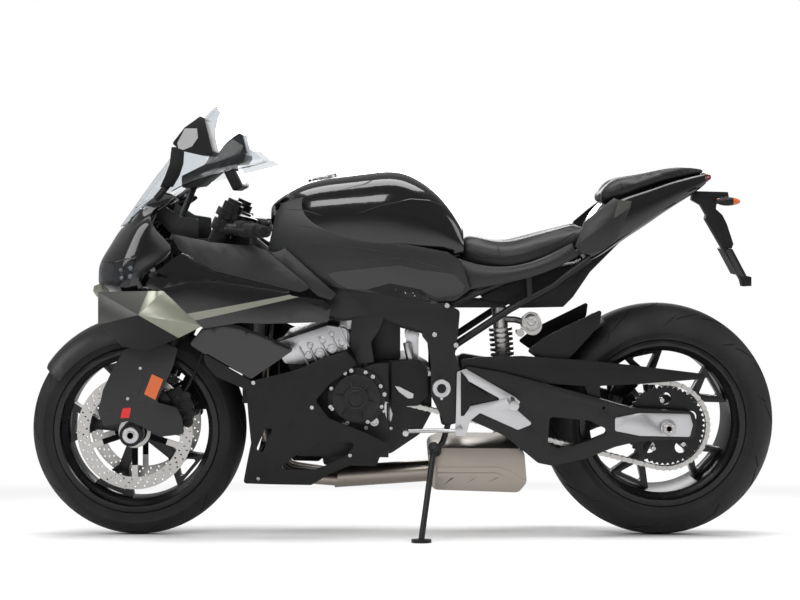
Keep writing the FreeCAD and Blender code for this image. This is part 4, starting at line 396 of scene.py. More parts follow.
def socket_bolt(radius, height):
    """A bolt head with a hexagonal socket, its foot on the origin and its axis along Z."""
    bpy.ops.mesh.primitive_cylinder_add(vertices=18, radius=radius, depth=height, location=(0, 0, height / 2))
    top = applied(bpy.context.object)
    chosen(top, lambda middle, normal: normal.z > 0.9)
    bpy.ops.mesh.inset(thickness=radius * 0.14)
    bpy.ops.transform.translate(value=(0, 0, radius * 0.1))
    bpy.ops.mesh.inset(thickness=radius * 0.36)
    bpy.ops.mesh.extrude_region_move(TRANSFORM_OT_translate={"value": (0, 0, -height * 0.55)})
    closed()
    return top


def facing(place, direction, turn=0.0):
    """A matrix that sets a piece drawn along Z at a place, along a direction."""
    upright = Vector(direction).to_track_quat("Z", "X").to_matrix().to_4x4()
    return Matrix.Translation(place) @ upright @ Matrix.Rotation(turn, 4, "Z")


def set_on(piece, place, direction, turn=0.0):
    """A piece drawn along Z, set at a place along a direction."""
    applied(piece).data.transform(facing(place, direction, turn))
    return piece


def traced(points, radii=None, ring=False, **settings):
    """A curve through points, made a mesh."""
    curve = bpy.data.curves.new("traced", "CURVE")
    for name, value in settings.items():
        setattr(curve, name, value)
    run = curve.splines.new("POLY")
    run.use_cyclic_u = ring
    run.points.add(len(points) - 1)
    for dot, place, radius in zip(run.points, points, radii or [1.0] * len(points)):
        dot.co = (*place, 1)
        dot.radius = radius
    piece = bpy.data.objects.new("traced", curve)
    bpy.context.scene.collection.objects.link(piece)
    pick(piece)
    bpy.ops.object.convert(target="MESH")
    return bpy.context.object


def wire(points, radius, taper=None):
    """A round wire through points, with closed ends."""
    return outward(traced(points, taper, dimensions="3D", bevel_depth=radius, bevel_resolution=1, use_fill_caps=True))


def plate(outline, low, high, edge):
    """A flat plate drawn on the photograph, from side low to side high on the left, its edges rounded."""
    places = [seen(column, row, high) for column, row in outline]
    piece = traced([(place.x, place.z, 0) for place in places], ring=True, dimensions="2D", fill_mode="BOTH",
                   extrude=(high - low) / 2 - edge, bevel_depth=edge, bevel_resolution=1, offset=-edge)
    piece.data.transform(Matrix.Translation((0, (low + high) / 2, 0)) @ Matrix.Rotation(radians(90), 4, "X"))
    return outward(piece)


def lathe(profile, sides=32):
    """A closed turned piece from pairs of radius and height, its axis along Z."""
    if profile[-1][0] and profile[0][0]:
        profile = profile + profile[:1]
    elif profile[-1][0]:
        profile = profile + [(0, profile[-1][1])]
    piece = traced([(radius, 0, height) for radius, height in profile], dimensions="3D")
    modified(piece, "SCREW", angle=radians(360), steps=sides, render_steps=sides, axis="Z", use_merge_vertices=True,
             merge_threshold=MERGE_DISTANCE)
    return outward(piece)


def head(radius, height, sunk=0.004):
    """A turned head with a shallow recess."""
    return lathe([(0, height * 0.8), (radius * 0.45, height * 0.8), (radius * 0.53, height), (radius * 0.85, height),
                  (radius, height * 0.6), (radius, -sunk)], 24)


def hoop(radius, tube, place, direction):
    """A round ring, its axis along a direction."""
    bpy.ops.mesh.primitive_torus_add(major_segments=40, minor_segments=10, major_radius=radius, minor_radius=tube)
    return set_on(bpy.context.object, place, direction)


# Finishes with their record slots
ALLOY, CASTING, STEEL = (bright_alloy, "bright_alloy"), (engine_dark, "engine_dark"), (steel, "steel")
FORK, COATED, HOT = (dark_anodised, "fork_metal"), (frame_black, "frame_black"), (hot_steel, "hot_steel")
GLOSS, GREY, BLACK = (gloss_black, "gloss_black"), (satin_grey, "matt_grey"), (matt_black, "matt_black")
PALE_GREY, RUBBER, TYRE = (winglet_grey, "matt_grey"), (soft_rubber, "rubber"), (tyre_rubber, "tyre")
AMBER, RED = (amber_lens, "lamp"), (red_paint, "red_lens")

# Frame nodes by finish, each with its edge radius in metres
DRESS = [
    (COATED, {"main_frame": 0.0012, "subframe": 0, "swingarm": 0.0015, "side_stand": 0.001}),
    (ALLOY, {"starter_motor": 0.0015, "cylinder_head": 0.002, "footrests": 0.001, "pedals": 0.001, "rear_axle": 0.001,
             "fuel_cap": 0.001}),
    (RUBBER, {"brake_hoses": 0, "grips": 0.001}),
    (CASTING, {"crankcase": 0.002, "cylinder_block": 0.002, "engine_covers": 0.0015, "intake_box": 0.002}),
    (BLACK, {"sprocket_cover": 0.0015, "radiator": 0.001, "lower_fairing": 0.0008, "undertray": 0.001,
             "plate_holder": 0.001, "mirrors": 0.0015, "instruments": 0.001, "chain_guard": 0.0008,
             "rear_mudguard": 0.0008, "hand_controls": 0.001}),
    (HOT, {"exhaust": 0.0012}),
    (STEEL, {"end_can": 0.001, "rear_shock": 0, "drive_chain": 0, "front_sprocket": 0, "front_axle": 0.0008,
             "front_brake_discs": 0, "rear_brake_disc": 0}),
    ((dark_anodised, "steel"), {"rear_sprocket": 0}),
    (GLOSS, {"side_fairing": 0.0008, "nose_cowl": 0.0008, "fuel_tank": 0, "tail_cover": 0.0008}),
    (GREY, {"cockpit_covers": 0.0008, "tank_covers": 0.0008, "tail_sides": 0.0008, "front_mudguard": 0.0008}),
    ((lamp_glass, "lamp"), {"headlights": 0}),
    ((clear_screen, "clear"), {"windscreen": 0}),
    ((cream_lacquer, "cream_metallic"), {"winglets": 0.001}),
    ((seat_vinyl, "seat_cover"), {"seat": 0, "pillion_seat": 0}),
    ((red_lens, "red_lens"), {"tail_lamp": 0}),
    (FORK, {"rear_caliper": 0.0015, "fork_tubes": 0.001, "fork_lowers": 0.001, "fork_clamps": 0.0015,
            "front_calipers": 0.0015, "handlebars": 0.001}),
    (TYRE, {"front_tyre": 0, "rear_tyre": 0}),
    ((wheel_black, "wheel_black"), {"front_rim": 0.001, "rear_rim": 0.001}),
]


def dress(name, coat, edge):
    """A joined, smooth copy of a frame node with soft edges and its finish."""
    source = nodes[name]
    piece = copied(source)
    piece.name = name + "_skin"
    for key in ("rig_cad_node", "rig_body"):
        if key in piece:
            del piece[key]
    piece.parent = None
    pick(piece)
    if piece.data.has_custom_normals:
        bpy.ops.mesh.customdata_custom_splitnormals_clear()
    bpy.ops.object.mode_set(mode="EDIT")
    bpy.ops.mesh.select_all(action="SELECT")
    bpy.ops.mesh.remove_doubles(threshold=MERGE_DISTANCE)
    bpy.ops.mesh.dissolve_limited(angle_limit=FLAT_ANGLE)
    closed()
    if edge:
        modified(piece, "BEVEL", width=edge, segments=2, limit_method="ANGLE", angle_limit=EDGE_ANGLE,
                 use_clamp_overlap=True)
    bpy.ops.object.shade_smooth_by_angle(angle=SMOOTH_ANGLE)
    worn(piece, source["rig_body"], *coat)
    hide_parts(name)
    return piece


skins = {name: dress(name, coat, edge) for coat, edges in DRESS for name, edge in edges.items()}

# Wheels
RIM_LIP_RADIUS, BEAD_RADIUS, TYRE_WALL = 0.228, 0.219, 0.009
TYRE_RINGS, GROOVE_POINTS = 200, 9


def on_wheel(axle, radius, angle, side=0.0):
    """A place on a wheel, the angle in degrees from straight up towards the front."""
    return axle + Vector((radius * sin(radians(angle)), side, radius * cos(radians(angle))))


def tyre_section(radius, half_width, crown, rim_half):
    """The tyre's closed section as pairs of side and radius: crown, moulded sidewall, bead and inside."""
    centre = radius - crown
    edge = asin(min(0.99, half_width / crown))
    steps, inner_steps = 11, 5
    side = [(crown * sin(edge * i / steps), centre + crown * cos(edge * i / steps)) for i in range(1, steps + 1)]
    foot = rim_half - 0.0003
    low = side[-1][1]
    drop, span = low - RIM_LIP_RADIUS, half_width - foot
    wall = [(half_width - 0.0004, low - 0.12 * drop), (half_width - 0.0012, low - 0.15 * drop),
            (half_width - 0.0025, low - 0.34 * drop), (foot + 0.62 * span, low - 0.5 * drop),
            (foot + 0.6 * span, low - 0.53 * drop), (foot + 0.44 * span, low - 0.74 * drop),
            (foot + 0.43 * span, low - 0.86 * drop), (foot + 0.0006, RIM_LIP_RADIUS + 0.0008),
            (foot, BEAD_RADIUS + 0.0003), (foot - TYRE_WALL, BEAD_RADIUS + 0.0003)]
    inside = crown - TYRE_WALL
    inner = [(inside * sin(edge * i / inner_steps), centre + inside * cos(edge * i / inner_steps))
             for i in range(inner_steps, 0, -1)]
    half = side + wall + inner
    return [(0.0, radius), *half, (0.0, radius - TYRE_WALL), *((-y, r) for y, r in reversed(half))]


def tread_cut(axle, radius, crown, angle, sweep, low, high, width, sign):
    """One curved groove of the tread as a cutting tool."""
    points, taper = [], []
    for i in range(GROOVE_POINTS):
        share = i / (GROOVE_POINTS - 1)
        tilt = radians(low + (high - low) * share)
        turn = angle + sweep * (share ** 1.4)
        reach = radius - crown + crown * cos(tilt)
        points.append(on_wheel(axle, reach, turn, sign * crown * sin(tilt)))
        taper.append(0.35 + 0.65 * sin(radians(180 * min(max(share, 0.06), 0.94))) ** 0.5)
    return wire(points, width / 2, taper)


def tyre(node_name, axle, sizes, grooves, body):
    """A tyre with its tread grooves and moulded sidewalls."""
    radius, half_width, crown, rim_half = sizes
    section = tyre_section(radius, half_width, crown, rim_half)
    bpy.ops.mesh.primitive_torus_add(major_segments=TYRE_RINGS, minor_segments=len(section), major_radius=radius,
                                     minor_radius=half_width)
    piece = bpy.context.object
    for index, vertex in enumerate(piece.data.vertices):
        ring, place = divmod(index, len(section))
        side, reach = section[place]
        vertex.co = on_wheel(axle, reach, 360.0 * ring / TYRE_RINGS, side)
    tools = [tread_cut(axle, radius, crown, *groove) for groove in grooves]
    carved(outward(piece, merge=False), joined(tools))
    settle(piece, node_name + "_tread", body, TYRE, EDGE_ANGLE)
    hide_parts(node_name)
    bpy.data.objects.remove(skins.pop(node_name))


def groove_pattern(count, pairs):
    """The tread's grooves round the tyre, the right side half a pitch behind the left."""
    pitch = 360.0 / count
    found = []
    for i in range(count):
        for start, sweep, low, high, width in pairs:
            found.append((i * pitch + start, sweep, low, high, width, 1))
            found.append(((i + 0.5) * pitch + start, sweep, low, high, width, -1))
    return found


FRONT_GROOVES = groove_pattern(11, [(0, 17, 6, 42, 0.0065), (21, 10, 30, 60, 0.005)])
REAR_GROOVES = groove_pattern(10, [(0, 14, 8, 34, 0.008), (16, 12, 24, 50, 0.0075), (29, 6, 44, 62, 0.0055)])
tyre("front_tyre", FRONT_AXLE, FRONT_TYRE, FRONT_GROOVES, "front_wheel")
tyre("rear_tyre", REAR_AXLE, REAR_TYRE, REAR_GROOVES, "rear_wheel")

# Holes of the discs: side, outer radius, drilled band, rows and holes in a row
FRONT_DISC, REAR_DISC = (0.07, 0.16, 0.034, 3, 36), (-0.104, 0.11, 0.028, 2, 30)
HOLE_RADIUS, HOLE_REACH = 0.0028, 0.008


def drilled(name, axle, side, radius, band, rows, per_row):
    """Drills a brake disc's skin."""
    places = []
    for row in range(rows):
        reach = radius - band * (row + 0.7) / (rows + 0.4)
        for i in range(per_row):
            places.append(Matrix.Translation(on_wheel(axle, reach, 360.0 * (i + row / rows) / per_row, side)))
    drill = bar(HOLE_RADIUS, Vector((0, -HOLE_REACH, 0)), Vector((0, HOLE_REACH, 0)), 10)
    tool = applied(repeated(drill, places))
    tool.data.transform(BIKE)
    carved(skins[name], tool)


drilled("front_brake_discs", FRONT_AXLE, *FRONT_DISC)
drilled("front_brake_discs", FRONT_AXLE, -FRONT_DISC[0], *FRONT_DISC[1:])
drilled("rear_brake_disc", REAR_AXLE, *REAR_DISC)

# Chain
CHAIN_PITCH, CHAIN_SIDE = 0.015875, 0.116
REAR_TEETH, FRONT_TEETH = 46, 17
LINK_PLATE = (0.0022, 0.0073)
OUTER_PLATE_SIDE, INNER_PLATE_SIDE = 0.0085, 0.0058
PIN, ROLLER = (0.0026, 0.0103, 8), (0.005, 0.0047, 10)
FRONT_SPROCKET = seen(410.5, 381.8)


def chain_places():
    """Pin places round both sprockets, in the plane y zero."""
    big, small = CHAIN_PITCH / 2 / sin(pi / REAR_TEETH), CHAIN_PITCH / 2 / sin(pi / FRONT_TEETH)
    rear, front = Vector((REAR_AXLE.x, REAR_AXLE.z)), Vector((FRONT_SPROCKET.x, FRONT_SPROCKET.z))
    span = front - rear
    slope, lean = atan2(span.y, span.x), asin((big - small) / span.length)
    run = (span.length ** 2 - (big - small) ** 2) ** 0.5
    top, bottom = slope + pi / 2 - lean, slope - pi / 2 + lean
    front_arc, rear_arc = (top - bottom) * small, (2 * pi - (top - bottom)) * big
    length = 2 * run + front_arc + rear_arc
    count = 2 * int(round(length / CHAIN_PITCH / 2))
    places = []
    for i in range(count):
        s = length * i / count
        if s < run:
            ray = Vector((cos(top), sin(top)))
            place = (rear + ray * big).lerp(front + ray * small, s / run)
        elif s < run + front_arc:
            turn = top - (s - run) / small
            place = front + Vector((cos(turn), sin(turn))) * small
        elif s < 2 * run + front_arc:
            ray = Vector((cos(bottom), sin(bottom)))
            place = (front + ray * small).lerp(rear + ray * big, (s - run - front_arc) / run)
        else:
            turn = bottom - (s - 2 * run - front_arc) / big
            place = rear + Vector((cos(turn), sin(turn))) * big
        places.append(Vector((place.x, 0, place.y)))
    return places


def link_plate(side, thickness, half_height):
    """One link plate with a waist, along X, its first pin on the origin."""
    bpy.ops.mesh.primitive_circle_add(vertices=16, radius=1, fill_type="NGON", rotation=(radians(90), 0, 0))
    piece = applied(bpy.context.object)
    for vertex in piece.data.vertices:
        across, up = vertex.co.x, vertex.co.z
        waist = 0.72 if abs(across) < 0.3 else 1.0
        end = (1 if across > 0 else -1) * (abs(across) > 0.05)
        vertex.co.x = CHAIN_PITCH / 2 * (1 + end) + across * half_height * 0.9
        vertex.co.z = up * half_height * waist
    piece = modified(piece, "SOLIDIFY", thickness=thickness, offset=0)
    piece.data.transform(Matrix.Translation((0, side, 0)))
    return piece


def link(side, radius, half_length, sides):
    """Two link plates and the pins or rollers between them."""
    plates = [link_plate(-side, *LINK_PLATE), link_plate(side, *LINK_PLATE)]
    return joined(plates + [bar(radius, Vector((x, -half_length, 0)), Vector((x, half_length, 0)), sides)
                            for x in (0, CHAIN_PITCH)])


def chain():
    """The drive chain's links."""
    places = chain_places()
    count = len(places)
    outer, inner = link(OUTER_PLATE_SIDE, *PIN), link(INNER_PLATE_SIDE, *ROLLER)
    spots = {0: [], 1: []}
    for i, place in enumerate(places):
        onward = places[(i + 1) % count] - place
        turn = Matrix.Rotation(-atan2(onward.z, onward.x), 4, "Y")
        spots[i % 2].append(Matrix.Translation(place + Vector((0, CHAIN_SIDE, 0))) @ turn)
    piece = joined([repeated(outer, spots[0]), repeated(inner, spots[1])])
    settle(piece, "chain_links", "chassis", STEEL)
    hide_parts("drive_chain")
    bpy.data.objects.remove(skins.pop("drive_chain"))


chain()

# Small parts set where the photograph shows them
INTO_BIKE = BIKE.inverted()
EYE = BIKE @ Vector((0, EYE_DISTANCE, EYE_HEIGHT))
ASIDE = 2.0


def cast(origin, aim, names):
    """Where a ray, both in the lean, first meets the named skins, upright, and the outward normal there."""
    best = None
    for name in names:
        hit, place, normal = skins[name].ray_cast(origin, aim)[:3]
        if hit and (best is None or (place - origin).length < (best[0] - origin).length):
            best = (place, normal if normal.dot(aim) < 0 else -normal)
    return best and (INTO_BIKE @ best[0], INTO_BIKE.to_3x3() @ best[1])


def met(origin, aim, names):
    """Where a ray meets the named skins, which it has to do."""
    found = cast(origin, aim, names)
    if found is None:
        raise ValueError("no surface of %s along a ray" % ", ".join(names))
    return found


def eye_ray(column, row):
    """The photograph's ray through a pixel, in the lean: its start and its aim."""
    return EYE, (BIKE @ seen(column, row) - EYE).normalized()


def struck(column, row, *names):
    """Where the photograph's ray through a pixel meets the named skins, upright, and the outward normal there."""
    return met(*eye_ray(column, row), names)


def beside(x, z, sign, *names):
    """Where a level ray from the left (sign 1) or the right (sign -1) meets the named skins."""
    return met(BIKE @ Vector((x, sign * ASIDE, z)), BIKE.to_3x3() @ Vector((0, -sign, 0)), names)


def bolts(name, body, radius, height, pixels, surface):
    """Bolts on both sides where the photograph shows their heads."""
    places = [facing(*struck(column, row, surface), turn=column) for column, row in pixels]
    finished([repeated(socket_bolt(radius, height), places)], name, body, ALLOY)


FAIRING_BOLTS = [(253.5, 382.7), (311.9, 407.4), (258.3, 478.2), (350, 455)]
SHIELD_BOLTS = [(140.4, 368.1), (127.8, 398.7)]
FRAME_BOLTS = [(434.5, 334.5), (447, 305.5), (456, 345)]
bolts("fairing_bolts", "chassis", 0.0052, 0.0028, FAIRING_BOLTS, "lower_fairing")
bolts("shield_bolts", "steering", 0.0042, 0.0024, SHIELD_BOLTS, "front_mudguard")
bolts("frame_bolts", "chassis", 0.0065, 0.005, FRAME_BOLTS, "main_frame")

# Winglets: grey in front, cream behind, black below
WINGLET_APEX, WINGLET_TOP, WINGLET_TAIL, WINGLET_TIP = (138, 315), (148, 291), (178.6, 338), (98, 325)
LIP_COLUMN, LIP_SIDE, FAIRING_SIDE, STRIPE_BLUR = 109, 0.07, 0.205, 0.0006


def pixel_of(place):
    """The photograph's pixel of an upright place, seen from the nearer side."""
    scale = WHEELBASE / WHEELBASE_PIXELS * (EYE_DISTANCE - abs(place.y)) / EYE_DISTANCE
    return MID_COLUMN - place.x / scale, EYE_ROW + (EYE_HEIGHT - place.z) / scale


def side_of(start, end, pixel):
    """Which side of the line from start to end a pixel lies on."""
    return (end[0] - start[0]) * (pixel[1] - start[1]) - (end[1] - start[1]) * (pixel[0] - start[0])


def paint_winglets():
    """Gives each facet of the winglets its colour."""
    mesh = skins["winglets"].data
    mesh.materials.append(winglet_grey)
    mesh.materials.append(matt_black)
    for face in mesh.polygons:
        place = INTO_BIKE @ face.center
        pixel = pixel_of(place)
        if pixel[0] < LIP_COLUMN and abs(place.y) < LIP_SIDE:
            continue
        low_front = side_of(WINGLET_TIP, WINGLET_APEX, pixel) > 0 and pixel[0] <= WINGLET_APEX[0]
        low_back = side_of(WINGLET_APEX, WINGLET_TAIL, pixel) > 0 and pixel[0] > WINGLET_APEX[0]
        if low_front or low_back:
            face.material_index = 2
        elif side_of(WINGLET_APEX, WINGLET_TOP, pixel) < 0:
            face.material_index = 1


paint_winglets()


def repainted(source, name, group, values):
    """A copy of a finish that takes its base colour from a group."""
    material = source.copy()
    material.name = name
    tree = material.node_tree
    linked(tree, (node(tree, "Group", values, node_tree=group), "Colour", tree.nodes["Principled BSDF"], "Base Color"))
    return material


def stripe_group(upper, lower):
    """A slim two-colour stripe between two lines of the machine's side, each a pair of upright x and z."""
    group, start, end = new_group(
        "side stripe", [("Colour", "Color", (0.01, 0.01, 0.01, 1)), ("Stripe", "Color", (0.3, 0.3, 0.25, 1))],
        [("Colour", "Color")])
    place = node(group, "TexCoord")
    mapping = node(group, "Mapping", {"Location": INTO_BIKE.to_translation(), "Rotation": INTO_BIKE.to_euler()})
    parts = node(group, "SeparateXYZ")
    linked(group, (place, "Object", mapping, "Vector"), (mapping, "Vector", parts, "Vector"))
    masks = []
    for (low, high), sign in ((upper, -1.0), (lower, 1.0)):
        slope = (high[1] - low[1]) / (high[0] - low[0])
        line = node(group, "Math", {1: -slope, 2: slope * low[0] - low[1]}, operation="MULTIPLY_ADD")
        level = node(group, "Math", operation="ADD")
        edge = node(group, "MapRange", {"From Min": -STRIPE_BLUR * sign, "From Max": STRIPE_BLUR * sign})
        linked(group, (parts, "X", line, 0), (line, "Value", level, 0), (parts, "Z", level, 1),
               (level, "Value", edge, "Value"))
        masks.append(edge)
    both = node(group, "Math", operation="MULTIPLY")
    mix = node(group, "Mix", data_type="RGBA")
    linked(group, (masks[0], "Result", both, 0), (masks[1], "Result", both, 1), (both, "Value", mix, "Factor"),
           (start, "Colour", mix, 6), (start, "Stripe", mix, 7), (mix, 2, end, "Colour"))
    return group


def flat_of(column, row):
    """Upright x and z of a pixel on the fairing's side."""
    place = seen(column, row, FAIRING_SIDE)
    return place.x, place.z


STRIPE = stripe_group((flat_of(296, 293.6), flat_of(205, 310.4)), (flat_of(296, 297.6), flat_of(197, 320.0)))
striped_black = repainted(gloss_black, "striped gloss lacquer", STRIPE,
                          {"Colour": (0.0025, 0.0025, 0.0028, 1), "Stripe": (0.17, 0.17, 0.14, 1)})
skins["side_fairing"].data.materials[0] = striped_black


def carrier_group():
    """Dark inside a radius round the front axle, the given colour outside it."""
    group, start, end = new_group("disc carrier", [("Colour", "Color", (0.4, 0.4, 0.4, 1)), ("Radius", "Float", 0.09)],
                                  [("Colour", "Color"), ("Outside", "Float")])
    place = node(group, "TexCoord")
    mapping = node(group, "Mapping", {"Location": INTO_BIKE.to_translation() - FRONT_AXLE,
                                      "Rotation": INTO_BIKE.to_euler()})
    flat = node(group, "VectorMath", {1: (1.0, 0.0, 1.0)}, operation="MULTIPLY")
    reach = node(group, "VectorMath", operation="LENGTH")
    edge = node(group, "Math", operation="GREATER_THAN")
    mix = node(group, "Mix", data_type="RGBA")
    linked(group, (place, "Object", mapping, "Vector"), (mapping, "Vector", flat, 0), (flat, "Vector", reach, 0),
           (reach, "Value", edge, 0), (start, "Radius", edge, 1), (edge, "Value", mix, "Factor"))
    mix.inputs[6].default_value = (0.004, 0.004, 0.0044, 1)
    linked(group, (start, "Colour", mix, 7), (mix, 2, end, "Colour"), (edge, "Value", end, "Outside"))
    return group


disc_steel = repainted(steel, "disc steel with dark carrier", carrier_group(),
                       {"Colour": (0.38, 0.37, 0.36, 1), "Radius": 0.093})
skins["front_brake_discs"].data.materials[0] = disc_steel


# Engine details: the alternator cover, the swingarm pivot and the cylinder head
ALTERNATOR, PIVOT, HEAD_FOOT = (356, 399.5), (441.6, 388.4), (312, 352)
COVER_RIBS, COVER_RING_BOLTS = 6, 8
COVER_RING = [(0.021, 0), (0.021, 0.003), (0.0235, 0.004), (0.026, 0.003), (0.026, 0)]
PIVOT_CUP = [(0, 0.001), (0.006, 0.001), (0.006, 0.004), (0.0125, 0.0045), (0.0125, 0.0025), (0.016, 0.0025),
             (0.0165, 0.005), (0.0225, 0.005), (0.0245, 0.0035), (0.0245, -0.003)]
PIVOT_CORE = [(0, 0.0052), (0.003, 0.0052), (0.003, 0.0062), (0.0085, 0.0062), (0.0085, 0.0052), (0.0125, 0.0052),
              (0.0125, -0.002)]
# Bosses of the head: steps along and across it, radius and height
BOSSES = [(-0.012, 0.004, 0.011, 0.008), (0.018, 0.012, 0.014, 0.01), (0.052, 0.016, 0.013, 0.01),
          (0.084, 0.012, 0.01, 0.008), (0.004, -0.018, 0.008, 0.012), (0.04, -0.016, 0.009, 0.009),
          (0.07, -0.02, 0.007, 0.012)]
BOSS_RIB_STEPS, BOSS_RIB_ENDS = (-0.024, 0.0, 0.034, 0.066, 0.096), (-0.028, 0.03)


def ring_of(count, centre, radius, start, side):
    """Places round a centre that face left, the first at an angle from straight up."""
    return [facing(on_wheel(centre, radius, 360.0 * i / count + start, side), SIDEWAYS) for i in range(count)]


def engine_cover_details():
    """Ribs, ring and bolts on the alternator cover, and the swingarm pivot's ends."""
    centre = struck(*ALTERNATOR, "engine_covers")[0]
    ribs = [set_on(lathe(COVER_RING), centre, SIDEWAYS)]
    for i in range(COVER_RIBS):
        turn = 360.0 * i / COVER_RIBS + 18
        ribs.append(bar(0.0022, on_wheel(centre, 0.028, turn, -0.001), on_wheel(centre, 0.058, turn, -0.016), 8))
    finished(ribs, "alternator_ribs", "chassis", CASTING, False)
    bolt_ring = ring_of(COVER_RING_BOLTS, centre, 0.0715, 25, -0.036)
    finished([repeated(socket_bolt(0.0055, 0.006), bolt_ring)], "alternator_bolts", "chassis", ALLOY, False)
    ring = hoop(0.031, 0.0016, centre - Vector((0, 0.001, 0)), SIDEWAYS)
    finished([ring], "alternator_ring", "chassis", CASTING, False)
    pivot = struck(*PIVOT, "main_frame")[0]
    under = pivot - Vector((0, 0, 0.027))
    tab = bar(0.004, under, under + Vector((0, 0.003, 0)), 12)
    finished([set_on(lathe(PIVOT_CUP, 40), pivot, SIDEWAYS), tab], "pivot_caps", "chassis", ALLOY)
    finished([set_on(lathe(PIVOT_CORE), pivot, SIDEWAYS)], "pivot_cores", "chassis", FORK)


def head_details():
    """Cast bosses, ribs and plugs on the bright end of the cylinder head."""
    foot = struck(*HEAD_FOOT, "cylinder_head")[0]
    along = (seen(345, 336, foot.y) - seen(303, 357, foot.y)).normalized()
    up = Vector((-along.z, 0, along.x))
    pieces = []
    for step, lift, radius, height in BOSSES:
        boss = lathe([(0, height), (radius * 0.45, height), (radius * 0.5, height * 0.6), (radius * 0.8, height * 0.6),
                      (radius, height * 0.4), (radius, -0.004)], 20)
        pieces.append(set_on(boss, foot + along * step + up * lift, SIDEWAYS))
    for step in BOSS_RIB_STEPS:
        low, high = (foot + along * step + up * lift + Vector((0, 0.002, 0)) for lift in BOSS_RIB_ENDS)
        pieces.append(bar(0.0028, low, high, 8))
    finished(pieces, "head_bosses", "chassis", ALLOY, False)


engine_cover_details()
head_details()

# Patches and lines drawn on the photograph
INWARD_STEPS = 12


def inward(column, row, middle, names):
    """The surface at a pixel or, where there is none, at the nearest pixel on the way to the middle."""
    for step in range(INWARD_STEPS):
        share = step / INWARD_STEPS
        found = cast(*eye_ray(column + (middle[0] - column) * share, row + (middle[1] - row) * share), names)
        if found:
            return found
    raise ValueError("no surface at %s, %s" % (column, row))


def overlay(outline, names, lift, cell=3.0, sunk=0.0008):
    """A thin raised patch on the named skins, its outline drawn on the photograph, its grid a cell of pixels wide."""
    columns, rows = [c for c, r in outline], [r for c, r in outline]
    wide, tall = max(columns) - min(columns) + 2, max(rows) - min(rows) + 2
    bpy.ops.mesh.primitive_grid_add(x_subdivisions=max(1, int(wide / cell)), y_subdivisions=max(1, int(tall / cell)),
                                    size=1)
    sheet = bpy.context.object
    sheet.scale = (wide, tall, 1)
    sheet.location = ((min(columns) + max(columns)) / 2, (min(rows) + max(rows)) / 2, 0)
    chosen(applied(sheet))
    bpy.ops.mesh.extrude_region_move(TRANSFORM_OT_translate={"value": (0, 0, 1)})
    bpy.ops.mesh.select_all(action="SELECT")
    bpy.ops.mesh.normals_make_consistent(inside=False)
    closed()
    tool = traced([(*pixel, 0) for pixel in outline], ring=True, dimensions="2D", fill_mode="BOTH", extrude=3.0)
    piece = carved(sheet, outward(tool), "INTERSECT")
    middle = (sum(columns) / len(outline), sum(rows) / len(outline))
    for vertex in piece.data.vertices:
        place, normal = inward(vertex.co.x, vertex.co.y, middle, names)
        vertex.co = place + normal * (lift if vertex.co.z > 0.5 else -sunk)
    return outward(piece, merge=False)


def crease(pixels, names, radius, steps=6):
    """A raised line over the named skins along pixels of the photograph, thinner at its ends."""
    spots = [pixels[-1]]
    for (c0, r0), (c1, r1) in zip(pixels[:-1][::-1], pixels[1:][::-1]):
        spots += [(c0 + (c1 - c0) * i / steps, r0 + (r1 - r0) * i / steps) for i in reversed(range(steps))]
    middle = spots[len(spots) // 2]
    points = [inward(*spot, middle, names)[0] for spot in spots]
    return wire(points, radius, [min(1.0, 0.25 + min(i, len(points) - 1 - i) * 0.4) for i in range(len(points))])


# Padded seat and pillion pad
VOXEL, PUFF_STEPS, PUFF_CAP, PUFF_FORCE, SEAM_RADIUS = 0.006, 20, 0.004, 4.0, 0.0011
SEAMS = {
    "seat": [[(468, 252), (480, 256.5), (503, 258), (530, 252), (560, 241.5), (577, 231)],
             [(497, 243.5), (499, 252), (503, 258)]],
    "pillion_seat": [[(605, 193), (625, 189.5), (650, 182.5), (680, 175.5), (697, 173)],
                     [(620, 182), (622, 186), (625, 189.5)]],
}


def puffed(piece, cap):
    """Fills a pad for a moment and keeps each point within the cap of where it was."""
    before = [vertex.co.copy() for vertex in piece.data.vertices]
    cover = piece.modifiers.new("cover", "CLOTH")
    cover.settings.use_pressure = True
    cover.settings.uniform_pressure_force = PUFF_FORCE
    cover.settings.effector_weights.gravity = 0.0
    for step in range(1, PUFF_STEPS + 1):
        bpy.context.scene.frame_set(step)
    shape = piece.evaluated_get(bpy.context.evaluated_depsgraph_get()).data
    after = [vertex.co.copy() for vertex in shape.vertices]
    piece.modifiers.remove(cover)
    bpy.context.scene.frame_set(1)
    for vertex, was, now in zip(piece.data.vertices, before, after):
        step = now - was
        vertex.co = was + step * min(1.0, cap / max(step.length, 1e-9))


def padding(name, seams):
    """Turns a seat's plain skin into a padded cover with its seams."""
    piece = skins[name]
    modified(piece, "REMESH", mode="VOXEL", voxel_size=VOXEL, use_smooth_shade=True)
    modified(piece, "SMOOTH", factor=0.5, iterations=6)
    puffed(piece, PUFF_CAP)
    modified(piece, "SUBSURF", levels=1, render_levels=1)
    pick(piece)
    bpy.ops.object.shade_smooth()
    bpy.context.view_layer.update()
    lines = [both_sides(crease(seam, [name], SEAM_RADIUS, 5)) for seam in seams]
    finished(lines, name + "_seams", "chassis", (soft_rubber, "seat_cover"), False)


for seat, seams in SEAMS.items():
    padding(seat, seams)

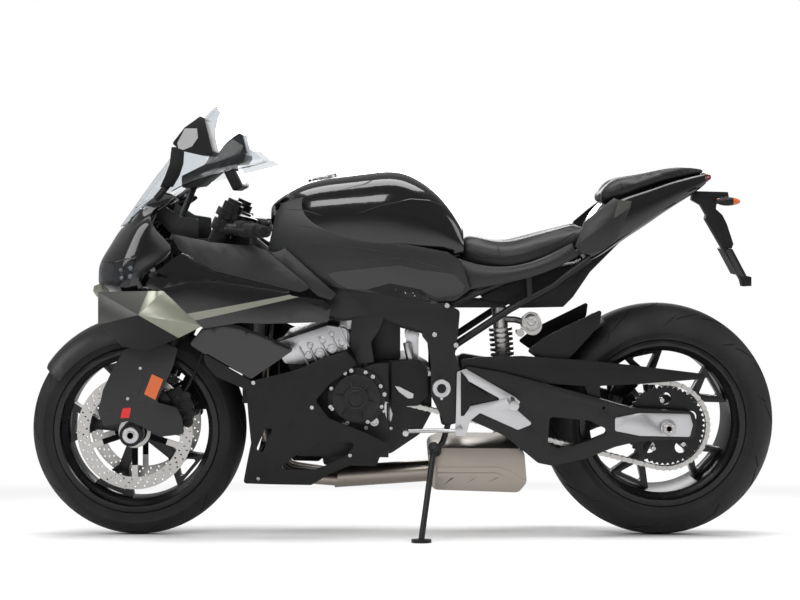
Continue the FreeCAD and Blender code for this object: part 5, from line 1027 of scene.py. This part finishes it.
# Lamps and mirrors
HOUSING_SETBACK, HOUSING_SHARE, EYE_SETBACK = 0.013, 0.97, 0.0085
LAMP_EYES = [(128.5, 268.5, 0.0075), (128.5, 276.5, 0.0075), (118, 270, 0.006), (119, 278, 0.006)]
LAMP_EDGE = [(112, 262.5), (128, 258.5), (139, 255.5)]
MIRROR_TOP, MIRROR_LOW, MIRROR_SIDE = (204.6, 119.5), (212.6, 151.6), 0.365
MIRROR_HEIGHT_SHARE, MIRROR_WIDTH, MIRROR_THICKNESS, MIRROR_EDGE = 0.82, 0.104, 0.002, 0.0009
MIRROR_LENS = [(177.3, 143), (185, 128.4), (197, 128.4), (198, 137.9), (192, 146.5), (183.3, 150), (178.2, 148.2)]


def lamp_details():
    """A dark reflector with small bright lenses behind the lamp glass."""
    housing = copied(skins["headlights"])
    for key in list(housing.keys()):
        del housing[key]
    housing.data.transform(INTO_BIKE)
    housing.data.transform(Matrix.Translation((-HOUSING_SETBACK, 0, 0)) @ Matrix.Scale(HOUSING_SHARE, 4, SIDEWAYS))
    settle(housing, "lamp_housings", "chassis", (lamp_dark, "lamp"))
    eyes = []
    for column, row, radius in LAMP_EYES:
        place, normal = struck(column, row, "headlights")
        eye = lathe([(0, 0.004), (radius * 0.5, 0.0035), (radius * 0.8, 0.0022), (radius, 0.0), (radius, -0.008)], 20)
        eyes.append(set_on(eye, place - normal * EYE_SETBACK, normal))
    finished(eyes, "lamp_lenses", "chassis", (bright_lens, "lamp"))
    finished([crease(LAMP_EDGE, ["headlights", "nose_cowl"], 0.0016, 5)], "lamp_edges", "chassis", GLOSS)


def mirror_details():
    """Mirror glass towards the rider and a pale lens on the outer face."""
    top, low = seen(*MIRROR_TOP, MIRROR_SIDE), seen(*MIRROR_LOW, MIRROR_SIDE)
    out = Vector((low.z - top.z, 0, top.x - low.x)).normalized()
    glass = slab(((top - low).length * MIRROR_HEIGHT_SHARE, MIRROR_WIDTH, MIRROR_THICKNESS), MIRROR_EDGE, 2)
    spot = (top + low) / 2 + out * MIRROR_EDGE
    finished([set_on(glass, spot, out)], "mirror_glass", "chassis", (mirror_glass, "steel"))
    finished([overlay(MIRROR_LENS, ["mirrors"], 0.0012, 4.0)], "mirror_lenses", "chassis", (pale_lens, "lamp"))


lamp_details()
mirror_details()

# Raised patches, two of them painted highlights: name, body, finish, skins, lift, outlines and whether both sides have
# them
PATCHES = [
    ("tank_recesses", "chassis", GLOSS, ["tank_covers"], 0.0007,
     [[(327.5, 274), (335, 271.8), (399.4, 265), (417.8, 269.5), (454.5, 274), (465, 286), (462, 292.4), (454.5, 296),
       (436, 298), (420.8, 289.4), (390.2, 283.3), (367.2, 289.4), (347.4, 288.6), (335, 281.7)]], True),
    ("side_grilles", "chassis", BLACK, ["tank_covers", "main_frame"], 0.0014,
     [[(367.2, 289.4), (390.2, 283.3), (420.8, 289.4), (431.5, 301.6), (414.7, 300), (381, 294)]], True),
    # Painted highlight: a lighter grey patch stands in for the light that one facet of the tail sides catches
    ("tail_painted_highlights", "chassis", PALE_GREY, ["tail_sides"], 0.0006,
     [[(618.6, 200.2), (631, 201.3), (629, 208.5), (613.5, 218.5)]], True),
    ("fork_reflectors", "steering", AMBER, ["front_mudguard"], 0.003,
     [[(152.2, 373.9), (163.4, 379.4), (155.4, 399.8), (144.3, 394)]], True),
    ("shield_marks", "steering", RED, ["front_mudguard"], 0.0008,
     [[(122.8, 407.8), (131, 407.8), (129, 418), (120.5, 418)]], True),
    ("exhaust_ridges", "chassis", HOT, ["exhaust"], 0.0026,
     [[(437.8, 467), (498, 467), (510, 470.6), (520.4, 477.5), (525.5, 480), (525, 482), (519, 480.5), (508, 474.5),
       (497, 471.8), (437.8, 471.8)], [(437.8, 472.9), (496.9, 472.9), (504, 476.2), (437.8, 476.2)],
      [(432.5, 463), (435.5, 463), (435.5, 489), (432.5, 489)]], False),
    ("exhaust_slashes", "chassis", CASTING, ["exhaust"], 0.0004,
     [[(442.9, 485.3), (451, 478.2), (454.5, 477.3)], [(464.3, 484.3), (473.5, 478.7), (477, 477.3)],
      [(487.8, 482.2), (496, 478), (499, 477.3)]], False),
    # Painted highlight: a satin grey patch stands in for the light that one facet of the black lower fairing catches
    ("lower_fairing_painted_highlights", "chassis", GREY, ["lower_fairing"], 0.0008,
     [[(258.4, 451), (272.5, 431.5), (271, 428.5), (264.4, 435), (257.5, 448)]], True),
    ("engine_castings", "chassis", ALLOY, ["crankcase", "sprocket_cover"], 0.004,
     [[(384, 400.5), (389, 403), (392.7, 414), (391, 421), (387, 420), (384.5, 410)],
      [(394.8, 385.8), (400, 386.8), (413.6, 393.8), (413, 397.8), (408, 398.2), (399, 391.6)]], False),
]
# Raised lines on both sides: name, body, finish, skins, radius and runs
LINES = [
    ("grille_slats", "chassis", GLOSS, ["tank_covers", "main_frame"], 0.0026,
     [[(394, 286), (398, 294)], [(402, 287.5), (407.5, 296.5)], [(411, 290), (416.5, 299)]]),
    ("tank_cover_lines", "chassis", GREY, ["tank_covers", "fuel_tank"], 0.0013,
     [[(285, 209), (303, 210), (322, 215.5)], [(296, 224), (318, 229), (345, 238)],
      [(303, 242), (356.5, 247.5), (402, 255)],
      [(321.3, 266.4), (360, 261.5), (402.5, 258), (450, 270.5), (463, 285)]]),
    ("tank_lines", "chassis", GLOSS, ["fuel_tank"], 0.0013,
     [[(355, 214.4), (380, 205.5), (411, 199), (430, 200.5), (446.8, 206.7)],
      [(333.6, 191.4), (365.7, 183.8), (375, 178.5)]]),
    ("shield_lines", "steering", GREY, ["front_mudguard"], 0.0012,
     [[(106, 411.5), (120.2, 409.3), (133.6, 405.5), (152.7, 403.1), (163, 405.5)],
      [(150.8, 354.5), (143.5, 378), (136.5, 401.7)]]),
    ("lower_lines", "chassis", BLACK, ["lower_fairing"], 0.0014,
     [[(282, 428.5), (300, 421.5), (312.7, 419), (322, 421)]]),
]
# Turned plugs of the engine: pixel, radius and height
PLUGS = [(374.5, 421, 0.0135, 0.012), (351.4, 370.4, 0.0065, 0.007), (372.9, 376.4, 0.0065, 0.007),
         (384.5, 394, 0.0065, 0.007), (330.5, 406.5, 0.006, 0.006), (344.2, 423, 0.0065, 0.007),
         (366, 427.5, 0.006, 0.007), (391, 428, 0.005, 0.005), (384, 411, 0.0045, 0.005)]

for name, body, coat, surfaces, lift, outlines, twin in PATCHES:
    finished([overlay(outline, surfaces, lift) for outline in outlines], name, body, coat, twin)
for name, body, coat, surfaces, radius, runs in LINES:
    finished([crease(run, surfaces, radius) for run in runs], name, body, coat)
plugs = [set_on(head(radius, height), *struck(column, row, "crankcase", "lower_fairing", "engine_covers"))
         for column, row, radius, height in PLUGS]
finished(plugs, "engine_plugs", "chassis", ALLOY, False)

# Rings, nuts and caps of the wheels and the shock
AXLE_RING = [(0.012, 0.0035), (0.0205, 0.0035), (0.0225, 0.0015), (0.0225, -0.003), (0.012, -0.003)]
AXLE_RING_SIDE, SPEED_RING_SIDE, AXLE_END, SPROCKET_FACE = 0.1262, 0.0745, 0.168, 0.119
SPEED_RING = [(0.034, -0.002), (0.034, 0.0008), (0.044, 0.0008), (0.044, -0.002)]
SPEED_TOOTH = Vector((-0.0012, -0.0012, 0.0385)), Vector((0.0012, 0.0022, 0.0445))
SPEED_TEETH, SPROCKET_BOLTS, SPROCKET_BOLT_RADIUS = 48, 5, 0.07
AXLE_NUT = [(0.008, 0.003), (0.0175, 0.003), (0.0195, 0.0), (0.0195, -0.004), (0.008, -0.004)]


def turned_trim():
    """Rings, nuts and caps of the wheels and the shock."""
    cap = struck(531.3, 321.5, "rear_shock")[0]
    knob = seen(520.6, 332.9, 0.07)
    caps = [hoop(0.0235, 0.0032, cap, SIDEWAYS), set_on(head(0.012, 0.004), cap, SIDEWAYS),
            bar(0.011, knob - Vector((0, 0.04, 0)), knob, 20)]
    finished(caps, "shock_caps", "chassis", STEEL, False)
    ring_place = Vector((FRONT_AXLE.x, AXLE_RING_SIDE, FRONT_AXLE.z))
    finished([set_on(lathe(AXLE_RING, 40), ring_place, SIDEWAYS)], "axle_rings", "steering", ALLOY)
    hub = FRONT_AXLE + Vector((0, SPEED_RING_SIDE, 0))
    turns = [Matrix.Rotation(radians(360.0 * i / SPEED_TEETH), 4, "Y") for i in range(SPEED_TEETH)]
    teeth = repeated(block(*SPEED_TOOTH), [Matrix.Translation(hub) @ turn for turn in turns])
    finished([teeth, set_on(lathe(SPEED_RING, 48), hub, SIDEWAYS)], "speed_ring", "front_wheel", STEEL, False)
    end = Vector((REAR_AXLE.x, AXLE_END, REAR_AXLE.z))
    nuts = [set_on(lathe(AXLE_NUT, 6), end, SIDEWAYS), hoop(0.0105, 0.0022, end + Vector((0, 0.003, 0)), SIDEWAYS)]
    finished(nuts, "rear_axle_nuts", "chassis", STEEL)
    bolt_ring = ring_of(SPROCKET_BOLTS, REAR_AXLE, SPROCKET_BOLT_RADIUS, 8, SPROCKET_FACE)
    finished([repeated(head(0.0068, 0.008), bolt_ring)], "sprocket_bolts", "rear_wheel", ALLOY, False)


# Grips and switches
GRIP_INNER, GRIP_OUTER = Vector((0.391, 0.2329, 0.865)), Vector((0.3403, 0.37, 0.8618))
GRIP_RIBS, RIB_START, RIB_PITCH, SWITCH_STEP, SWITCH_DEPTH = 16, 0.016, 0.0065, 0.0245, 0.0185
# Switch buttons: step along the bar, lift and radius
BUTTONS = [(0.012, 0.0, 0.005), (0.001, 0.006, 0.0035), (0.001, -0.006, 0.0035)]


def bar_trim():
    """Flanges, ribs and end caps of the grips, with switch buttons."""
    along = (GRIP_OUTER - GRIP_INNER).normalized()
    rings = [hoop(0.0192, 0.002, GRIP_INNER - along * 0.001, along),
             hoop(0.0115, 0.0016, GRIP_OUTER + along * 0.0035, along),
             set_on(head(0.0075, 0.003), GRIP_OUTER + along * 0.002, along)]
    finished(rings, "grip_rings", "steering", FORK)
    ribs = [hoop(0.0164, 0.0009, GRIP_INNER + along * (RIB_START + RIB_PITCH * i), along) for i in range(GRIP_RIBS)]
    finished(ribs, "grip_ribs", "steering", RUBBER)
    back = (Vector((-1, 0, 0.35)) + along * 0.35).normalized()
    shift = along.cross(back).normalized()
    face = GRIP_INNER - along * SWITCH_STEP + back * SWITCH_DEPTH
    buttons = [set_on(head(radius, 0.002, 0.006), face + along * step + shift * lift, back)
               for step, lift, radius in BUTTONS]
    finished(buttons, "switch_buttons", "steering", PALE_GREY)


# Heel guards, filler neck, dash, radiator and rear indicators
HEEL_GUARD = [(460.8, 371.5), (466, 377), (470.4, 383.7), (488.3, 395.6), (484.7, 400.5), (471.4, 402.5), (469, 409),
              (464, 416), (460.8, 416)]
GUARD_INNER, GUARD_OUTER = 0.1592, 0.1616
NECK = [(0.031, -0.0012), (0.037, -0.0012), (0.0385, -0.003), (0.0385, -0.03), (0.031, -0.03)]
LID_FOOT, LID_NORMAL = Vector((0.2065, 0, 0.9985)), Vector((0.2, 0, 0.98)).normalized()
DASH, DASH_FACE = Vector((0.462, 0, 1.012)), Vector((-0.9, 0, 0.45)).normalized()
CASE_SIZE, DISPLAY_SIZE, DISPLAY_LIFT = (0.088, 0.158, 0.03), (0.074, 0.138, 0.003), 0.0155
FIN, FIN_COUNT, FIN_PITCH = (Vector((0.4175, -0.096, 0.41)), Vector((0.4225, 0.096, 0.4112))), 50, 0.0045
TUBE, TUBE_PITCH = (Vector((0.4178, -0.0015, 0.408)), Vector((0.4215, 0.0015, 0.634))), 0.0192
STALK = Vector((-0.9, 0.01, 0.938)), Vector((-0.9, 0.082, 0.938))
BULB, LENS = (-0.905, 0.096, 0.938), (-0.914, 0.0965, 0.938)


def frame_trim():
    """Heel guards, the filler's neck, the dash display, radiator fins and rear indicators."""
    guard = plate(HEEL_GUARD, GUARD_INNER, GUARD_OUTER, 0.0006)
    rest = set_on(head(0.006, 0.002), seen(468.9, 390.8, GUARD_OUTER), SIDEWAYS)
    finished([guard, rest], "heel_guards", "chassis", BLACK)
    finished([set_on(lathe(NECK, 40), LID_FOOT, LID_NORMAL)], "filler_neck", "chassis", FORK, False)
    finished([set_on(slab(CASE_SIZE, 0.006, 3), DASH, DASH_FACE)], "dash_case", "chassis", BLACK, False)
    display = set_on(slab(DISPLAY_SIZE, 0.001, 2), DASH + DASH_FACE * DISPLAY_LIFT, DASH_FACE)
    finished([display], "dash_display", "chassis", GLOSS, False)
    fins = repeated(block(*FIN), [Matrix.Translation((0, 0, FIN_PITCH * i)) for i in range(FIN_COUNT)])
    tubes = repeated(block(*TUBE), [Matrix.Translation((0, TUBE_PITCH * i, 0)) for i in range(-5, 6)])
    finished([fins, tubes], "radiator_fins", "chassis", FORK, False)
    bulb = ball(0.014, BULB, (2.3, 1.1, 0.85), 14)
    finished([bar(0.005, *STALK, 16), bulb], "indicator_bodies", "chassis", BLACK)
    finished([ball(0.0125, LENS, (2.1, 1.1, 0.85), 12)], "indicator_lenses", "chassis", AMBER)


# Clutch cover, end can and calipers
CLUTCH_X, CLUTCH_Z, CLUTCH_BOLTS, CLUTCH_BOLT_RADIUS = 0.086, 0.4, 8, 0.052
OUTLET, OUTLET_AIM = Vector((-0.594, -0.226, 0.323)), Vector((-0.99, -0.03, 0.11)).normalized()
OUTLET_RIM = [(0.026, 0.001), (0.03, 0.001), (0.032, 0.004), (0.036, 0.004), (0.038, 0.0), (0.038, -0.004),
              (0.026, -0.004)]
LOBE_INNER, LOBE_OUTER, PISTON_FACE, REAR_CALIPER_FACE = 0.077, 0.0935, 0.0905, -0.1305
LOBES = [(0.583, 0.402), (0.575, 0.378), (0.572, 0.353), (0.578, 0.329)]
PISTON_COVERS, REAR_CALIPER_BOLTS = [(0.607, 0.389), (0.6, 0.35)], [(-0.64, 0.42), (-0.672, 0.372)]


def right_trim():
    """The clutch cover's rings and bolts and the end can's outlet."""
    places = []
    for i in range(CLUTCH_BOLTS):
        turn = radians(360.0 * i / CLUTCH_BOLTS)
        x, z = CLUTCH_X + CLUTCH_BOLT_RADIUS * cos(turn), CLUTCH_Z + CLUTCH_BOLT_RADIUS * sin(turn)
        places.append(facing(*beside(x, z, -1, "engine_covers", "crankcase")))
    finished([repeated(socket_bolt(0.005, 0.005), places)], "clutch_bolts", "chassis", ALLOY, False)
    centre, normal = beside(CLUTCH_X, CLUTCH_Z, -1, "engine_covers")
    rings = [hoop(0.04, 0.002, centre, SIDEWAYS), hoop(0.022, 0.0015, centre, SIDEWAYS),
             set_on(head(0.012, 0.004), centre, normal)]
    finished(rings, "clutch_rings", "chassis", CASTING, False)
    finished([set_on(lathe(OUTLET_RIM, 40), OUTLET, OUTLET_AIM)], "outlet_rim", "chassis", BLACK, False)


def caliper_trim():
    """Piston covers and lobes of the front calipers, and bolts of the rear one."""
    lobes = [bar(0.0125, Vector((x, LOBE_INNER, z)), Vector((x, LOBE_OUTER, z)), 20) for x, z in LOBES]
    covers = [set_on(head(0.0155, 0.004, 0.002), Vector((x, PISTON_FACE, z)), SIDEWAYS) for x, z in PISTON_COVERS]
    finished(lobes + covers, "caliper_lobes", "steering", FORK)
    rear = [facing(Vector((x, REAR_CALIPER_FACE, z)), (0, -1, 0)) for x, z in REAR_CALIPER_BOLTS]
    finished([repeated(socket_bolt(0.007, 0.006), rear)], "rear_caliper_bolts", "chassis", ALLOY, False)


turned_trim()
bar_trim()
frame_trim()
right_trim()
caliper_trim()

# Floor, light and camera
FLOOR_HALF, FLOOR_DROP, FADE_FROM, FADE_TO = 30.0, 0.0005, 1.6, 4.5
GLOSSY_LIGHT, SCATTERED_LIGHT = 0.3, 0.32
# Studio lamps: name, place, aim, width, height and power
LAMPS = [("overhead", (0.0, 0.4, 3.2), (0, 0, 0.6), 3.6, 1.6, 120.0),
         ("left strip", (0.6, 3.0, 2.2), (0, 0, 0.6), 3.0, 0.8, 60.0),
         ("right strip", (-0.4, -3.0, 2.2), (0, 0, 0.6), 3.0, 0.8, 50.0),
         ("nose lamp", (3.4, 0.8, 1.6), (0.6, 0, 0.6), 1.4, 1.6, 30.0),
         ("tail lamp light", (-3.4, 0.6, 1.6), (-0.6, 0, 0.6), 1.4, 1.6, 25.0)]
SENSOR_WIDTH = 36.0


def floor():
    """A pale floor."""
    bpy.ops.mesh.primitive_plane_add(size=2 * FLOOR_HALF, location=(0, 0, -FLOOR_DROP))
    plane = bpy.context.object
    plane.name = "floor"
    material = bpy.data.materials.new("pale floor")
    material.use_nodes = True
    tree = material.node_tree
    shader = tree.nodes["Principled BSDF"]
    shader.inputs["Base Color"].default_value = (0.86, 0.86, 0.86, 1)
    shader.inputs["Roughness"].default_value = 0.9
    shader.inputs["Specular IOR Level"].default_value = 0.1
    place = node(tree, "TexCoord")
    reach = node(tree, "VectorMath", operation="LENGTH")
    fade = node(tree, "MapRange", {"From Min": FADE_FROM, "From Max": FADE_TO}, interpolation_type="SMOOTHSTEP")
    glow = node(tree, "Emission", {"Color": (1, 1, 1, 1), "Strength": 1.0})
    path = node(tree, "LightPath")
    shown = node(tree, "Math", operation="MULTIPLY")
    mix = node(tree, "MixShader")
    linked(tree, (place, "Object", reach, 0), (reach, "Value", fade, "Value"), (fade, "Result", shown, 0),
           (path, "Is Camera Ray", shown, 1), (shown, "Value", mix, 0), (shader, "BSDF", mix, 1),
           (glow, "Emission", mix, 2), (mix, "Shader", tree.nodes["Material Output"], "Surface"))
    plane.data.materials.append(material)


def soft_box(name, place, aim, width, height, power):
    """A rectangular studio lamp."""
    data = bpy.data.lights.new(name, "AREA")
    data.shape = "RECTANGLE"
    data.size, data.size_y, data.energy = width, height, power
    lamp = bpy.data.objects.new(name, data)
    lamp.location = place
    lamp.rotation_euler = (Vector(aim) - Vector(place)).to_track_quat("-Z", "Y").to_euler()
    bpy.context.scene.collection.objects.link(lamp)


def studio():
    """White surroundings, dim for scattered light, with soft boxes over the machine."""
    world = bpy.data.worlds.new("studio")
    bpy.context.scene.world = world
    world.use_nodes = True
    tree = world.node_tree
    back = tree.nodes["Background"]
    back.inputs["Color"].default_value = (1, 1, 1, 1)
    path = node(tree, "LightPath")
    seen_rays = node(tree, "Math", operation="MAXIMUM")
    glossy = node(tree, "Math", {1: GLOSSY_LIGHT}, operation="MULTIPLY")
    strength = node(tree, "Math", {1: SCATTERED_LIGHT}, operation="MAXIMUM")
    linked(tree, (path, "Is Camera Ray", seen_rays, 0), (path, "Is Transmission Ray", seen_rays, 1))
    both = node(tree, "Math", operation="MAXIMUM")
    linked(tree, (path, "Is Glossy Ray", glossy, 0), (seen_rays, "Value", both, 0), (glossy, "Value", both, 1),
           (both, "Value", strength, 0), (strength, "Value", back, "Strength"))
    for lamp in LAMPS:
        soft_box(*lamp)
    bpy.context.scene.view_settings.view_transform = "Standard"


def camera():
    """The photograph's view: square to the machine's middle plane, from its left."""
    data = bpy.data.cameras.new("camera")
    data.sensor_width = SENSOR_WIDTH
    focal = EYE_DISTANCE * WHEELBASE_PIXELS / WHEELBASE
    data.lens = data.sensor_width * focal / PHOTO_WIDTH
    data.shift_x = (PHOTO_WIDTH / 2 - MID_COLUMN) / PHOTO_WIDTH
    data.shift_y = (EYE_ROW - PHOTO_HEIGHT / 2) / PHOTO_WIDTH
    eye = bpy.data.objects.new("camera", data)
    bpy.context.scene.collection.objects.link(eye)
    bpy.context.scene.camera = eye
    square_on = Matrix(((-1, 0, 0), (0, 0, 1), (0, 1, 0))).to_4x4()
    eye.matrix_world = BIKE @ Matrix.Translation((0, EYE_DISTANCE, EYE_HEIGHT)) @ square_on


floor()
studio()
camera()
